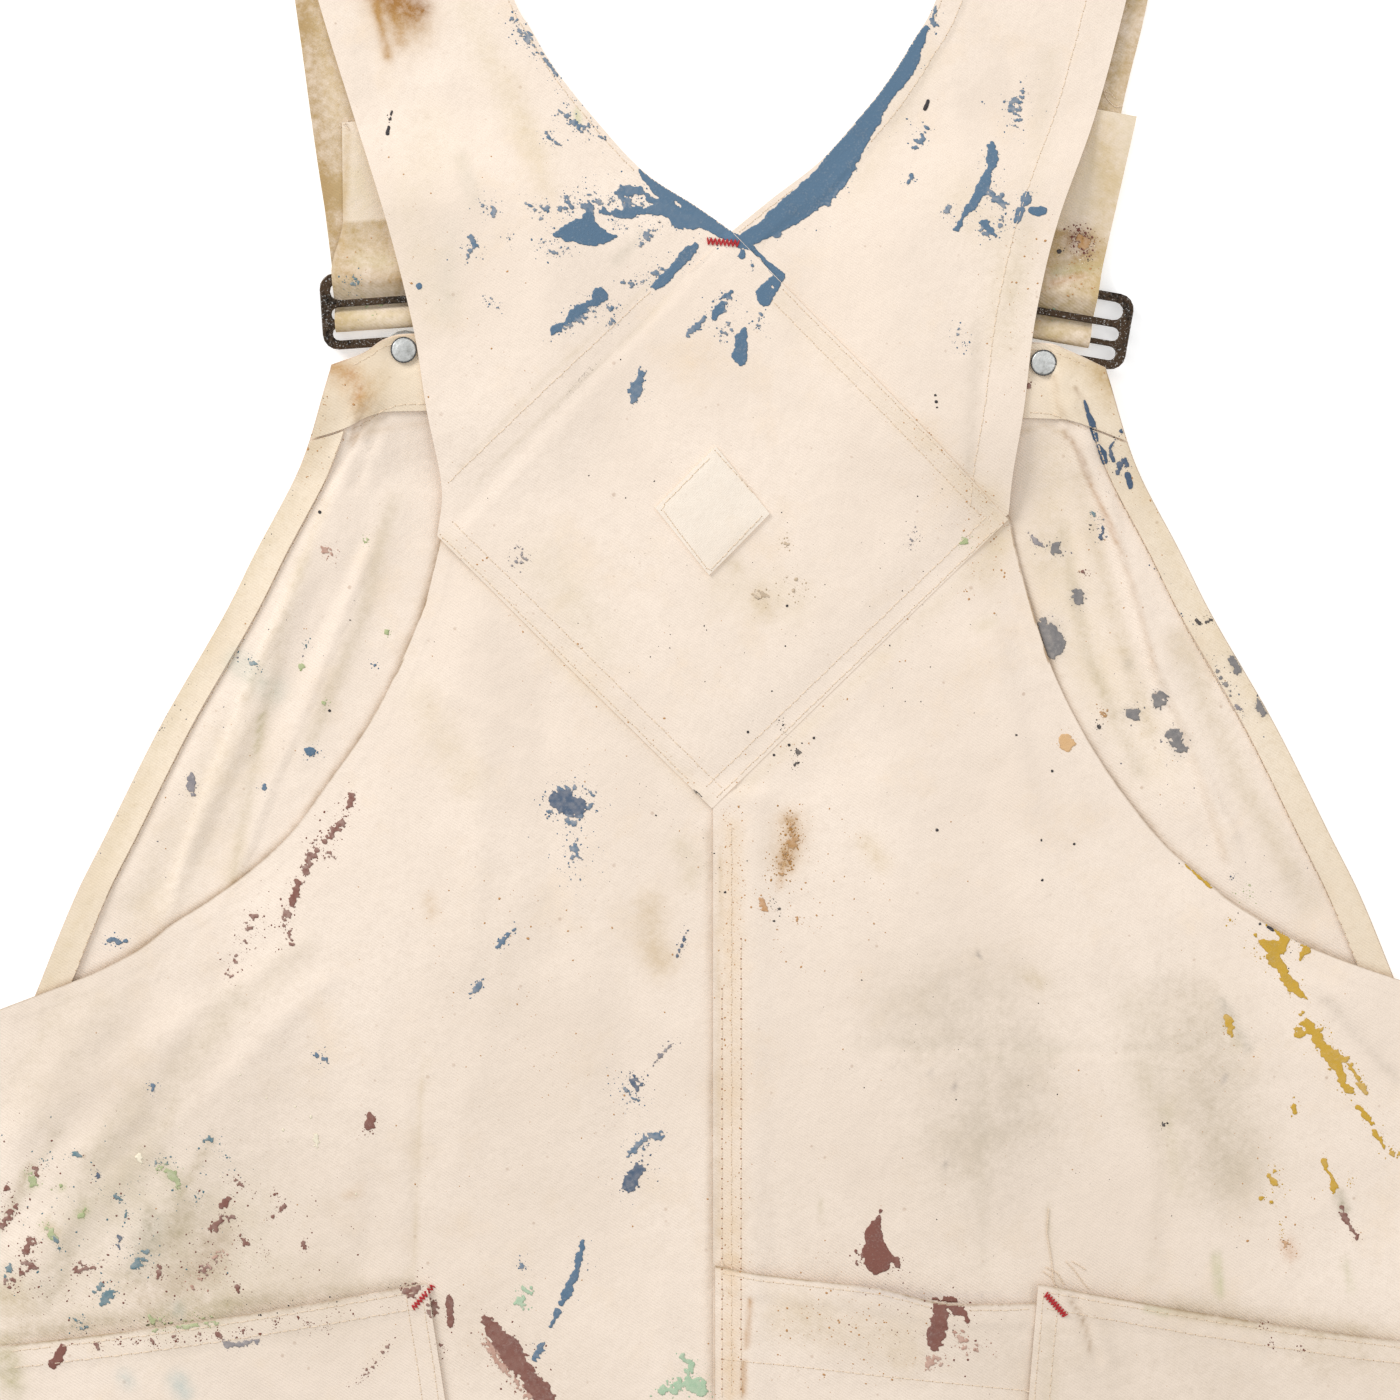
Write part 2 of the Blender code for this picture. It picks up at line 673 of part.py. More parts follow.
def make_button(side, material):
    """Button on the bib's outside: a head under the eye and a shank up through it."""
    profile = [
        (0.0, 0.0), (BUTTON_RADIUS - 0.7, 0.0), (BUTTON_RADIUS, 0.6), (BUTTON_RADIUS - 0.4, 1.6),
        (SHANK_RADIUS + 1.2, BUTTON_HEAD), (SHANK_RADIUS, BUTTON_HEAD),
        (SHANK_RADIUS, SHANK_TOP), (0.0, SHANK_TOP),
    ]
    return make_turned(f"button_{side}", profile, side, 0.0, material)


def make_rivet(side, material):
    """Domed back of the button's rivet, on the bib's inside."""
    profile = [
        (0.0, 0.0), (RIVET_RADIUS - 0.3, 0.0), (RIVET_RADIUS, 0.3),
        (RIVET_RADIUS - 0.5, 0.7), (RIVET_RADIUS * 0.5, RIVET_THICK * 0.95), (0.0, RIVET_THICK),
    ]
    base_z = BIB_LIFT + PLY + PLY
    return make_turned(f"rivet_{side}", profile, side, base_z, material)


def shoulder_reach():
    """How far the shoulder fold stands past the end of the back strap."""
    top_z = strap_bottom_z(STRAP_LEFT[-1]["armhole_x"], SHOULDER_Y) + CLOTH / 2
    return (top_z - FRONT_Z - CLOTH / 2) / 2 + CLOTH / 2


# Middle of the outline from hem to shoulder, which becomes the origin
MIDDLE_Y = (HEM_Y + SHOULDER_Y + shoulder_reach()) / 2


def main():
    for thing in list(bpy.data.objects):
        bpy.data.objects.remove(thing)
    materials = {name: make_material(name) for name in COLOURS}
    drill = materials["drill_cloth"]
    for side in ("left", "right"):
        make_front(side, drill)
        make_back(side, drill)
        make_side_facing(side, materials["facing_cloth"])
        make_strap(side, materials["strap_cloth"])
        make_buckle(side, materials["aged_steel"])
        make_button(side, materials["zinc"])
        make_rivet(side, materials["zinc"])
    make_bib(drill)
    make_top_facing(materials["facing_cloth"])
    for name in POCKETS:
        make_pocket(name, drill)
    make_label(materials["label_cloth"])


main()
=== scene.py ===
import math

import bmesh
import bpy
import numpy as np
from mathutils import Matrix, Vector
from mathutils.bvhtree import BVHTree


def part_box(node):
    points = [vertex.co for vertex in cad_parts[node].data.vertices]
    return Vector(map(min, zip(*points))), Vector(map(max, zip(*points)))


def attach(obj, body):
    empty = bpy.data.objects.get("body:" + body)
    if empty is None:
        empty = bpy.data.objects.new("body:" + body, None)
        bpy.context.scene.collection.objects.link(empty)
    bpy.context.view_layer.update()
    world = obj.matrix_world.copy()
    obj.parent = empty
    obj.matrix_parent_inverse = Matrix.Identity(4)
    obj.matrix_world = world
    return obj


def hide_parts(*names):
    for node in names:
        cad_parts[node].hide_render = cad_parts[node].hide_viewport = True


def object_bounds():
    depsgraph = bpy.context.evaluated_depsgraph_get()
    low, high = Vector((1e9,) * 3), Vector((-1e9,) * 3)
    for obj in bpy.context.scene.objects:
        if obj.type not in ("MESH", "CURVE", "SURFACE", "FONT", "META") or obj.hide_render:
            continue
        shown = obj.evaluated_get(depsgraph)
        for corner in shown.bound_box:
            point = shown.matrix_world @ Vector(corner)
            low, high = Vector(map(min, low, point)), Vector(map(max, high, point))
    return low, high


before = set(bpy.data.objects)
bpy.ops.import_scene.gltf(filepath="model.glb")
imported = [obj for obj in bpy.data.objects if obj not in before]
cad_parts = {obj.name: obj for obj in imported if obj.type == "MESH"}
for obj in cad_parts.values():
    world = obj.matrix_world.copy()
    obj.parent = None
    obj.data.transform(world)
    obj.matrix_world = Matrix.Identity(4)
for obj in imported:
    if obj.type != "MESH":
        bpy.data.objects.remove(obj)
cadBox = [list(corner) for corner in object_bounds()]

# The garment is worked out in millimetres, from the middle of the waist at the
# back. Places read off the photograph are pixels of it, 1400 wide.
mm = 0.001
hemY = -1060.0
waistWorldY = cadBox[0][1] / mm - hemY
photo = {"pixel": 0.36, "waistAcross": 718.0, "waistDown": 1000.0, "size": 1400.0}

layers = {"cloth": 1.0, "ply": 1.3, "shell": 0.7, "legBack": 1.5, "bodyBack": 2.75, "bibLift": 5.1}


def fromPhoto(across, down):
    x = (np.asarray(across, float) - photo["waistAcross"]) * photo["pixel"]
    y = (photo["waistDown"] - np.asarray(down, float)) * photo["pixel"]
    return x, y


def ease(value, start, end):
    t = np.clip((value - start) / (end - start), 0.0, 1.0)
    return t * t * (3.0 - 2.0 * t)


def mix(a, b, share):
    return a + (b - a) * share


# One smooth curve through the points of a table, read at many places at once
def curveAt(key, value, at):
    key, value = np.asarray(key, float), np.asarray(value, float)
    slope = np.empty_like(value)
    slope[1:-1] = (value[2:] - value[:-2]) / (key[2:] - key[:-2])
    slope[0] = (value[1] - value[0]) / (key[1] - key[0])
    slope[-1] = (value[-1] - value[-2]) / (key[-1] - key[-2])
    at = np.clip(at, key[0], key[-1])
    k = np.clip(np.searchsorted(key, at, side="right") - 1, 0, len(key) - 2)
    span = key[k + 1] - key[k]
    t = (at - key[k]) / span
    return (
        (2 * t**3 - 3 * t**2 + 1) * value[k]
        + (t**3 - 2 * t**2 + t) * slope[k] * span
        + (3 * t**2 - 2 * t**3) * value[k + 1]
        + (t**3 - t**2) * slope[k + 1] * span
    )


# How far points lie from a polyline of (x, y) points
def awayFrom(line, x, y):
    best = np.full(np.shape(x), 1e9)
    for (x1, y1), (x2, y2) in zip(line, line[1:]):
        dx, dy = x2 - x1, y2 - y1
        t = np.clip(((x - x1) * dx + (y - y1) * dy) / (dx * dx + dy * dy + 1e-9), 0.0, 1.0)
        best = np.minimum(best, np.hypot(x - x1 - t * dx, y - y1 - t * dy))
    return best


# How far points lie to the left of a straight line
def leftOf(line, x, y):
    (x1, y1), (x2, y2) = line
    return ((x2 - x1) * (y - y1) - (y2 - y1) * (x - x1)) / math.hypot(x2 - x1, y2 - y1)


def bumps(folds, x, y):
    height = np.zeros(np.shape(x))
    for x1, y1, x2, y2, width, rise in folds:
        height += rise * np.exp(-((awayFrom([(x1, y1), (x2, y2)], x, y) / width) ** 2))
    return height


# Shader maths on the outputs of nodes
class Wire:
    def __init__(self, finish, socket):
        self.finish = finish
        self.socket = socket

    def __add__(self, other):
        return self.finish.maths("ADD", self, other)

    def __sub__(self, other):
        return self.finish.maths("SUBTRACT", self, other)

    def __rsub__(self, other):
        return self.finish.maths("SUBTRACT", other, self)

    def __mul__(self, other):
        return self.finish.maths("MULTIPLY", self, other)

    __radd__ = __add__

    def held(self):
        return self.finish.node("Clamp", {0: self})


class Finish:
    def __init__(self, name, roughness, metallic=0.0):
        self.material = bpy.data.materials.new(name)
        self.material.use_nodes = True
        self.tree = self.material.node_tree
        self.surface = self.tree.nodes["Principled BSDF"]
        self.surface.inputs["Roughness"].default_value = roughness
        self.surface.inputs["Metallic"].default_value = metallic

    def feed(self, socket, value):
        if isinstance(value, Wire):
            self.tree.links.new(value.socket, socket)
        else:
            socket.default_value = value

    def node(self, kind, inputs=None, output=0, **settings):
        made = self.tree.nodes.new("ShaderNode" + kind)
        for key, value in settings.items():
            setattr(made, key, value)
        for key, value in (inputs or {}).items():
            self.feed(made.inputs[key], value)
        return Wire(self, made.outputs[output])

    def maths(self, operation, a, b):
        return self.node("Math", {0: a, 1: b}, operation=operation)

    def sine(self, a):
        return self.node("Math", {0: a}, operation="SINE")

    def noise(self, place, scale, detail=2.0, rough=0.5):
        sockets = {"Vector": place, "Scale": scale, "Detail": detail, "Roughness": rough}
        return self.node("TexNoise", sockets)

    def blend(self, a, b, factor):
        return self.node("Mix", {0: factor, 6: a, 7: b}, output=2, data_type="RGBA", blend_type="MIX")

    def attribute(self, name, output):
        return self.node("Attribute", output=output, attribute_name=name)

    def bump(self, height, strength, distance):
        return self.node("Bump", {"Height": height, "Strength": strength, "Distance": distance})

    def matt(self, gloss=0.2):
        self.surface.inputs["Specular IOR Level"].default_value = gloss

    def finish(self, **sockets):
        for name, value in sockets.items():
            self.feed(self.surface.inputs[name.replace("_", " ")], value)
        return self.material


# A colour as it is picked from a screen
def tint(red, green, blue):
    share = np.array([red, green, blue]) / 255.0
    linear = np.where(share > 0.04045, ((share + 0.055) / 1.055) ** 2.4, share / 12.92)
    return (*(float(part) for part in linear), 1.0)


drillCloth = {
    "light": tint(252, 236, 220),
    "shade": tint(240, 223, 206),
    "warm": tint(240, 214, 180),
    "speck": tint(150, 104, 66),
    "ribWidth": 0.95,
    "ribTurn": 58.0,
    "specks": 0.16,
    "roughness": 0.9,
}
soiledCloth = dict(drillCloth, light=tint(247, 231, 209), shade=tint(233, 214, 188), specks=0.26)
labelCloth = dict(
    drillCloth, light=tint(253, 241, 226), shade=tint(246, 231, 214), specks=0.03, ribWidth=0.5
)


# Twill with its slanting rib, its soil, its soft stains and painted shade
def makeClothFinish(name, look):
    f = Finish(name, look["roughness"])
    f.matt()
    place = f.node("TexCoord", output="Object")
    turn = math.radians(look["ribTurn"])
    perRib = 2 * math.pi / (look["ribWidth"] * mm)
    ribAxis = (math.cos(turn) * perRib, math.sin(turn) * perRib, 0.0)
    wander = f.noise(place, 260.0) * 2.2
    overRibs = f.node("VectorMath", {0: place, 1: ribAxis}, output=1, operation="DOT_PRODUCT")
    ribs = f.sine(overRibs + wander)
    slub = f.noise(place, 1500.0, 2.0, 0.7)
    broad = f.noise(place, 8.0, 4.0, 0.62)
    patches = f.noise(place, 30.0, 6.0, 0.7)
    mottle = f.noise(place, 330.0, 5.0, 0.75)
    creased = f.noise(place, 75.0, 3.0, 0.55)
    colour = f.blend(look["shade"], look["light"], ((broad - 0.34) * 3.4).held())
    colour = f.blend(colour, look["warm"], ((patches - 0.54) * 3.4).held() * 0.6)
    colour = f.blend(colour, look["shade"], ((mottle - 0.47) * 4.0).held() * 0.75)
    colour = f.blend(colour, look["shade"], ((ribs * 0.3 + slub * 1.6 - 0.75) * 0.9).held())
    for scale, share, size, strength in ((210.0, look["specks"], 0.2, 0.5), (430.0, 0.1, 0.22, 0.35)):
        spots = {"Vector": place, "Scale": scale}
        pick = f.node("TexVoronoi", spots, output=1)
        chosen = ((share - f.node("SeparateColor", {0: pick})) * 30.0).held()
        reach = f.node("SeparateColor", {0: pick}, output=1) * size
        dots = ((reach - f.node("TexVoronoi", spots)) * 12.0).held() * chosen
        colour = f.blend(colour, look["speck"], dots * (mottle + 0.1) * strength)
    # This attribute holds the stains and also painted shade beside raised edges and in folds
    stainAndShadeAmount = f.attribute("stain", 3)
    blotched = stainAndShadeAmount * (0.5 + (mottle - 0.5) * 1.5 + (patches - 0.5) * 2.6 + broad * 0.6)
    colour = f.blend(colour, f.attribute("stain", 0), blotched.held())
    grimeAndShade = ((mottle + slub * 0.5 - 0.92) * 6.0).held() * stainAndShadeAmount
    colour = f.blend(colour, look["speck"], (grimeAndShade * 0.4).held())
    height = ribs * 0.1 + slub * 0.3 + creased * 2.0
    return f.finish(Base_Color=colour, Normal=f.bump(height, 0.6, 0.0006))


def makePaintFinish():
    f = Finish("driedPaint", 0.62)
    f.matt(0.1)
    place = f.node("TexCoord", output="Object")
    slub = f.noise(place, 1300.0, 3.0, 0.7)
    patches = f.noise(place, 150.0, 4.0, 0.6)
    paint = f.attribute("paint", 0)
    colour = f.blend(paint, tint(235, 228, 218), ((slub + patches * 0.5 - 0.8) * 0.7).held())
    colour = f.blend(colour, tint(60, 66, 78), ((patches - 0.52) * 1.2).held() * 0.5)
    return f.finish(Base_Color=colour, Normal=f.bump(slub + patches, 0.5, 0.0004))


# Dried paint as strokes over the photograph: the paint, how dry the brush was,
# then places across and down with a half width, in pixels. Bare takes paint off
paints = {
    "blue": tint(88, 118, 144),
    "inkBlue": tint(72, 94, 120),
    "brown": tint(132, 84, 74),
    "softBrown": tint(190, 146, 128),
    "yellow": tint(206, 164, 52),
    "grey": tint(138, 134, 140),
    "black": tint(54, 52, 56),
    "teal": tint(92, 128, 140),
    "green": tint(176, 188, 138),
    "mint": tint(170, 200, 168),
    "rust": tint(200, 150, 100),
    "ochre": tint(184, 136, 78),
    "sand": tint(224, 182, 132),
    "dust": tint(198, 176, 148),
    "soot": tint(124, 122, 123),
    "cream": tint(250, 240, 214),
}
strokesOnBack = [
    ("blue", 0.35, (742, 241, 7), (758, 234, 10), (776, 222, 12),
     (796, 208, 14), (814, 194, 16), (830, 178, 16)),
    ("blue", 0.35, (830, 178, 16), (842, 162, 15), (853, 145, 12),
     (866, 124, 11), (878, 102, 10), (890, 84, 10)),
    ("blue", 0.35, (890, 84, 10), (903, 69, 10), (914, 52, 8), (921, 38, 5), (926, 28, 2)),
    ("blue", 0.9, (758, 240, 3), (777, 236, 2), (801, 213, 4),
     (827, 203, 3), (842, 182, 3), (852, 166, 3)),
    ("blue", 1.3, (936, 6, 3), (934, 16, 3), (933, 27, 4)),
    ("blue", 0.5, (644, 172, 4), (656, 184, 9), (672, 198, 11),
     (690, 210, 12), (708, 223, 9), (726, 234, 7)),
    ("blue", 0.35, (726, 234, 6), (742, 242, 5), (752, 248, 3.5),
     (760, 256, 2.4), (768, 264, 2.4), (776, 272, 4)),
    ("blue", 0.4, (780, 276, 5), (773, 286, 8), (764, 296, 8)),
    ("bare", 0.5, (773, 287, 1)),
    ("bare", 0.6, (676, 203, 2.6), (680, 206, 2)),
    ("bare", 0.6, (685, 214, 2.4), (691, 219, 3)),
    ("blue", 0.4, (743, 252, 2), (742, 256, 3)),
    ("blue", 0.6, (752, 266, 2)),
    ("blue", 0.4, (556, 237, 4), (566, 234, 9), (580, 232, 13),
     (592, 235, 11), (606, 238, 6), (616, 237, 1.6)),
    ("blue", 0.4, (586, 226, 8), (587, 218, 6)),
    ("blue", 1.1, (562, 211, 4), (574, 209, 6), (588, 207, 6)),
    ("blue", 2.3, (566, 200, 6), (578, 194, 6), (590, 192, 4)),
    ("blue", 2.2, (544, 244, 5), (550, 252, 6), (560, 254, 4), (572, 250, 3)),
    ("blue", 0.6, (606, 213, 4), (620, 215, 4.4), (634, 213, 4.6),
     (648, 210, 5), (660, 209, 7), (674, 214, 9)),
    ("blue", 0.6, (674, 214, 8), (684, 220, 8), (694, 225, 5)),
    ("blue", 0.8, (612, 195, 3), (625, 190, 4.4), (638, 192, 4.4), (648, 197, 5), (656, 201, 5)),
    ("blue", 2.2, (600, 204, 5), (614, 203, 5), (630, 202, 6), (644, 204, 4)),
    ("blue", 2.0, (612, 220, 2), (618, 228, 2), (626, 229, 2)),
    ("blue", 2.3, (658, 223, 2), (646, 238, 4), (640, 244, 3)),
    ("blue", 0.5, (694, 246, 5), (689, 252, 7), (681, 262, 7),
     (671, 273, 5.6), (660, 283, 5), (651, 287, 3)),
    ("blue", 1.7, (622, 284, 2), (632, 281, 2.6), (642, 282, 2.6), (652, 276, 3), (662, 270, 3)),
    ("blue", 0.5, (602, 296, 6), (595, 302, 6.6), (586, 307, 5),
     (575, 316, 4.6), (565, 324, 4), (555, 332, 3.6)),
    ("blue", 2.1, (566, 328, 4), (582, 318, 5), (598, 310, 4), (614, 307, 2.4)),
    ("blue", 1.5, (612, 322, 1.4), (609, 327, 1.6)),
    ("blue", 0.5, (732, 292, 1.3), (722, 298, 1.4), (713, 302, 1.4)),
    ("blue", 0.4, (721, 304, 4), (717, 311, 5.4), (714, 318, 3.4)),
    ("blue", 1.2, (711, 311, 1), (704, 319, 1.2), (698, 326, 2.2), (689, 333, 2.2)),
    ("blue", 2.3, (729, 299, 4), (726, 306, 3)),
    ("blue", 2.5, (727, 328, 4), (720, 335, 4)),
    ("blue", 0.4, (745, 329, 1.6), (742, 338, 5.4), (741, 348, 6.4), (740, 358, 6.4), (741, 364, 4)),
    ("blue", 1.9, (760, 316, 2), (759, 326, 2.4)),
    ("blue", 1.0, (643, 371, 3), (638, 381, 3.6), (636, 391, 4), (635, 400, 3.2)),
    ("blue", 1.2, (472, 238, 5), (474, 250, 6), (470, 258, 5)),
    ("blue", 0.3, (420, 288, 3.4)),
    ("blue", 1.9, (484, 206, 5), (493, 210, 5)),
    ("blue", 2.0, (534, 206, 6), (548, 210, 6), (540, 216, 4)),
    ("blue", 0.9, (510, 240, 3.4)),
    ("blue", 1.7, (486, 300, 2), (494, 304, 2), (498, 310, 1.6)),
    ("blue", 2.2, (512, 16, 4), (520, 32, 5), (534, 46, 4), (540, 56, 3)),
    ("blue", 1.3, (538, 50, 2), (549, 62, 3), (558, 76, 2)),
    ("blue", 2.3, (556, 108, 3), (574, 122, 6), (592, 132, 5), (606, 140, 3)),
    ("blue", 2.4, (546, 134, 6), (556, 142, 4)),
    ("blue", 0.5, (991, 146, 5), (993, 156, 6), (989, 170, 5.4),
     (982, 186, 5), (976, 200, 4.4), (970, 210, 3)),
    ("blue", 0.5, (970, 210, 3), (963, 218, 3.4), (956, 230, 3)),
    ("blue", 1.9, (986, 190, 3), (1000, 204, 5), (1002, 220, 4),
     (1000, 232, 5), (990, 240, 5), (981, 230, 5)),
    ("blue", 0.6, (983, 226, 4), (994, 238, 3)),
    ("blue", 0.3, (1032, 213, 4), (1037, 214, 5.4), (1042, 213, 3.6)),
    ("blue", 1.0, (1028, 190, 1.8), (1026, 200, 3.2), (1020, 209, 2), (1014, 222, 2.2)),
    ("blue", 2.1, (1024, 84, 4), (1018, 98, 6), (1010, 104, 6), (1020, 116, 5), (1014, 126, 3)),
    ("blue", 1.0, (925, 128, 2), (921, 138, 5), (914, 148, 3)),
    ("blue", 1.1, (911, 178, 3), (908, 183, 2)),
    ("blue", 2.0, (949, 208, 4), (945, 214, 2)),
    ("blue", 2.0, (956, 332, 3), (958, 341, 5), (963, 347, 3)),
    ("black", 0.3, (928, 101, 2.2), (925, 109, 2)),
    ("black", 0.5, (391.6, 111, 0.8), (390, 119, 1)),
    ("black", 0.4, (388.6, 127, 1), (387.4, 134, 1.2)),
    ("black", 0.2, (934.4, 396.6, 1.6)),
    ("black", 0.2, (935.4, 403, 1.9)),
    ("black", 0.2, (936, 409, 1.6)),
    ("inkBlue", 1.15, (556, 799, 9), (566, 801, 15), (577, 808, 13)),
    ("blue", 2.2, (560, 788, 8), (584, 790, 8), (596, 800, 8), (574, 822, 10), (552, 812, 8)),
    ("blue", 2.7, (576, 840, 9), (572, 862, 7), (580, 884, 4)),
    ("black", 0.4, (688, 783, 1), (694, 790, 1.4), (701, 797, 2)),
    ("inkBlue", 1.4, (630, 1078, 5), (637, 1086, 7)),
    ("blue", 2.2, (622, 1086, 6), (634, 1098, 8), (642, 1104, 5)),
    ("blue", 1.5, (658, 1135, 4), (648, 1138, 6), (638, 1146, 5), (628, 1156, 5)),
    ("inkBlue", 1.1, (642, 1160, 3), (640, 1172, 6), (632, 1182, 7), (620, 1190, 4)),
    ("blue", 0.6, (583, 1243, 1.4), (578, 1262, 2.6), (573, 1280, 4.4), (567, 1296, 5), (562, 1304, 2.4)),
    ("blue", 0.7, (558, 1312, 1.8), (550, 1328, 1.4)),
    ("blue", 1.8, (522, 1266, 3.4)),
    ("blue", 1.0, (542, 1346, 1.6), (534, 1360, 2.6)),
    ("blue", 0.9, (514, 930, 1.6), (506, 938, 2), (497, 947, 1.6)),
    ("blue", 1.4, (483, 980, 2.4), (471, 994, 2.4)),
    ("inkBlue", 1.1, (688, 929, 1), (683, 942, 1.2), (678, 956, 0.8)),
    ("grey", 1.4, (676, 1040, 1), (664, 1052, 1.6), (654, 1064, 1.4)),
    ("blue", 1.0, (318, 1056, 2.4), (326, 1059, 3.4)),
    ("blue", 1.0, (153, 1084, 2), (153, 1092, 2.6)),
    ("inkBlue", 1.3, (120, 1238, 3), (118, 1248, 2)),
    ("teal", 1.6, (131, 1268, 5), (140, 1264, 7), (146, 1254, 5)),
    ("teal", 1.7, (200, 1144, 2), (211, 1138, 3), (221, 1147, 2.4), (227, 1160, 1.8), (228, 1172, 1.6)),
    ("teal", 1.3, (70, 1157, 3), (78, 1154, 3)),
    ("teal", 1.2, (44, 1158, 3), (46, 1164, 2)),
    ("inkBlue", 0.9, (98, 1168, 1.4), (98, 1176, 2)),
    ("teal", 1.3, (100, 1189, 1), (112, 1194, 1.3), (119, 1197, 1), (126, 1207, 1), (126, 1218, 1.2)),
    ("teal", 1.3, (101, 1304, 2), (108, 1298, 4), (114, 1290, 2)),
    ("teal", 1.7, (94, 1292, 2), (104, 1284, 2)),
    ("teal", 1.3, (6, 1276, 1.6), (10, 1264, 2)),
    ("teal", 1.5, (54, 1236, 1.6), (60, 1250, 1.8)),
    ("teal", 1.8, (76, 1320, 3), (86, 1326, 3), (70, 1330, 2)),
    ("teal", 1.9, (198, 1192, 2), (196, 1200, 2)),
    ("green", 1.0, (28, 1172, 3), (33, 1184, 4)),
    ("green", 0.6, (61, 1186, 2.6)),
    ("green", 0.6, (82, 1214, 4), (85, 1209, 3.4)),
    ("green", 1.9, (164, 1166, 6), (172, 1177, 5), (180, 1187, 4.4)),
    ("teal", 1.9, (156, 1161, 3), (170, 1163, 3)),
    ("green", 2.1, (44, 1224, 4), (54, 1234, 4)),
    ("green", 2.2, (146, 1324, 5), (180, 1325, 5), (214, 1321, 5)),
    ("mint", 1.4, (664, 1392, 4), (676, 1388, 6), (686, 1384, 7), (690, 1366, 4), (682, 1356, 3)),
    ("mint", 1.3, (690, 1384, 6), (700, 1384, 8), (706, 1392, 5)),
    ("mint", 1.6, (526, 1292, 5), (520, 1304, 5)),
    ("brown", 1.2, (352, 796, 2.4), (347, 810, 3), (338, 826, 2.4)),
    ("brown", 1.7, (346, 812, 3.4), (338, 826, 4), (330, 836, 4),
     (318, 850, 4), (306, 864, 4), (300, 880, 3)),
    ("brown", 0.9, (299, 882, 2.6), (296, 892, 3), (292, 902, 2)),
    ("brown", 2.3, (290, 908, 4), (284, 922, 4), (292, 940, 3)),
    ("brown", 2.3, (256, 914, 5), (250, 930, 7), (246, 944, 6)),
    ("brown", 2.4, (236, 960, 4), (230, 978, 4)),
    ("brown", 2.4, (318, 846, 6), (332, 858, 4)),
    ("brown", 0.8, (370, 1116, 2.4), (369, 1126, 3.4)),
    ("brown", 1.5, (366, 1132, 1.6)),
    ("brown", 0.4, (881, 1211, 1.4), (878, 1220, 4), (874, 1232, 8), (873, 1242, 10), (875, 1252, 13)),
    ("brown", 0.4, (875, 1252, 13), (878, 1261, 13), (879, 1266, 8)),
    ("brown", 1.3, (862, 1256, 4), (858, 1266, 4)),
    ("brown", 0.8, (896, 1262, 3), (900, 1270, 1.4)),
    ("brown", 0.6, (936, 1302, 5), (940, 1312, 9), (938, 1326, 9), (934, 1338, 8), (934, 1344, 5)),
    ("brown", 0.6, (945, 1301, 5), (955, 1305, 7), (963, 1312, 6), (968, 1320, 2.4)),
    ("softBrown", 2.0, (928, 1362, 5), (942, 1364, 5)),
    ("softBrown", 2.2, (958, 1330, 4), (966, 1346, 4), (984, 1348, 3)),
    ("brown", 0.8, (484, 1320, 5), (492, 1330, 9), (504, 1346, 11),
     (520, 1368, 11), (538, 1392, 10), (556, 1412, 9)),
    ("softBrown", 1.9, (476, 1324, 5), (492, 1350, 8), (508, 1374, 8), (530, 1398, 7)),
    ("brown", 0.8, (449, 1298, 3.4), (450, 1308, 3), (450, 1318, 2), (450, 1327, 1)),
    ("brown", 1.0, (4, 1192, 4), (8, 1188, 3)),
    ("brown", 1.4, (2, 1224, 7), (10, 1212, 6), (18, 1202, 3)),
    ("brown", 1.3, (36, 1168, 4), (37, 1174, 3)),
    ("brown", 1.1, (30, 1240, 2.4), (28, 1248, 4), (24, 1256, 3)),
    ("brown", 1.7, (22, 1262, 5), (34, 1266, 5)),
    ("brown", 1.9, (10, 1284, 4), (16, 1292, 3)),
    ("brown", 1.2, (230, 1180, 2), (241, 1186, 2.4)),
    ("brown", 0.8, (224, 1206, 3), (229, 1199, 3)),
    ("brown", 1.2, (212, 1229, 4), (222, 1222, 4), (233, 1219, 3)),
    ("brown", 0.6, (274, 1195, 2)),
    ("brown", 1.1, (268, 1220, 1.6), (277, 1214, 2), (284, 1206, 2)),
    ("brown", 1.2, (246, 1244, 3), (241, 1238, 2)),
    ("brown", 1.9, (202, 1272, 6), (212, 1262, 5)),
    ("softBrown", 2.7, (218, 1254, 9), (200, 1276, 8), (190, 1290, 6)),
    ("brown", 1.7, (160, 1268, 3), (158, 1278, 3)),
    ("brown", 1.6, (108, 1266, 3), (72, 1272, 3), (80, 1264, 3)),
    ("brown", 0.5, (63, 1347, 2.4), (58, 1356, 3.6), (53, 1365, 2)),
    ("brown", 1.8, (389, 1344, 1), (383, 1352, 1.5), (376, 1362, 2.4), (366, 1374, 1.6), (354, 1382, 1)),
    ("brown", 1.3, (400, 1291, 3), (411, 1290, 6), (420, 1288, 4)),
    ("brown", 1.5, (428, 1302, 4), (434, 1312, 3)),
    ("grey", 2.0, (228, 1344, 2.4), (244, 1342, 3), (258, 1341, 2.4)),
    ("brown", 1.3, (440, 1344, 1.6), (444, 1360, 1.6)),
    ("yellow", 0.35, (1183, 857, 1.4), (1190, 866, 2), (1198, 874, 3), (1206, 881, 3.6), (1211, 887, 2)),
    ("yellow", 0.5, (1256, 933, 2.4), (1257, 940, 3), (1264, 944, 5), (1274, 947, 6.4), (1282, 949, 4.4)),
    ("yellow", 0.5, (1282, 946, 5), (1285, 939, 5), (1290, 936, 4), (1293, 934, 2.4)),
    ("yellow", 0.5, (1276, 931, 2), (1282, 934, 4)),
    ("bare", 0.4, (1268, 934, 5.4), (1272, 935, 4)),
    ("yellow", 0.5, (1302, 943, 3), (1308, 947, 2.4), (1303, 954, 2.6), (1301, 959, 1.4)),
    ("yellow", 0.7, (1252, 951, 1), (1262, 959, 1.3)),
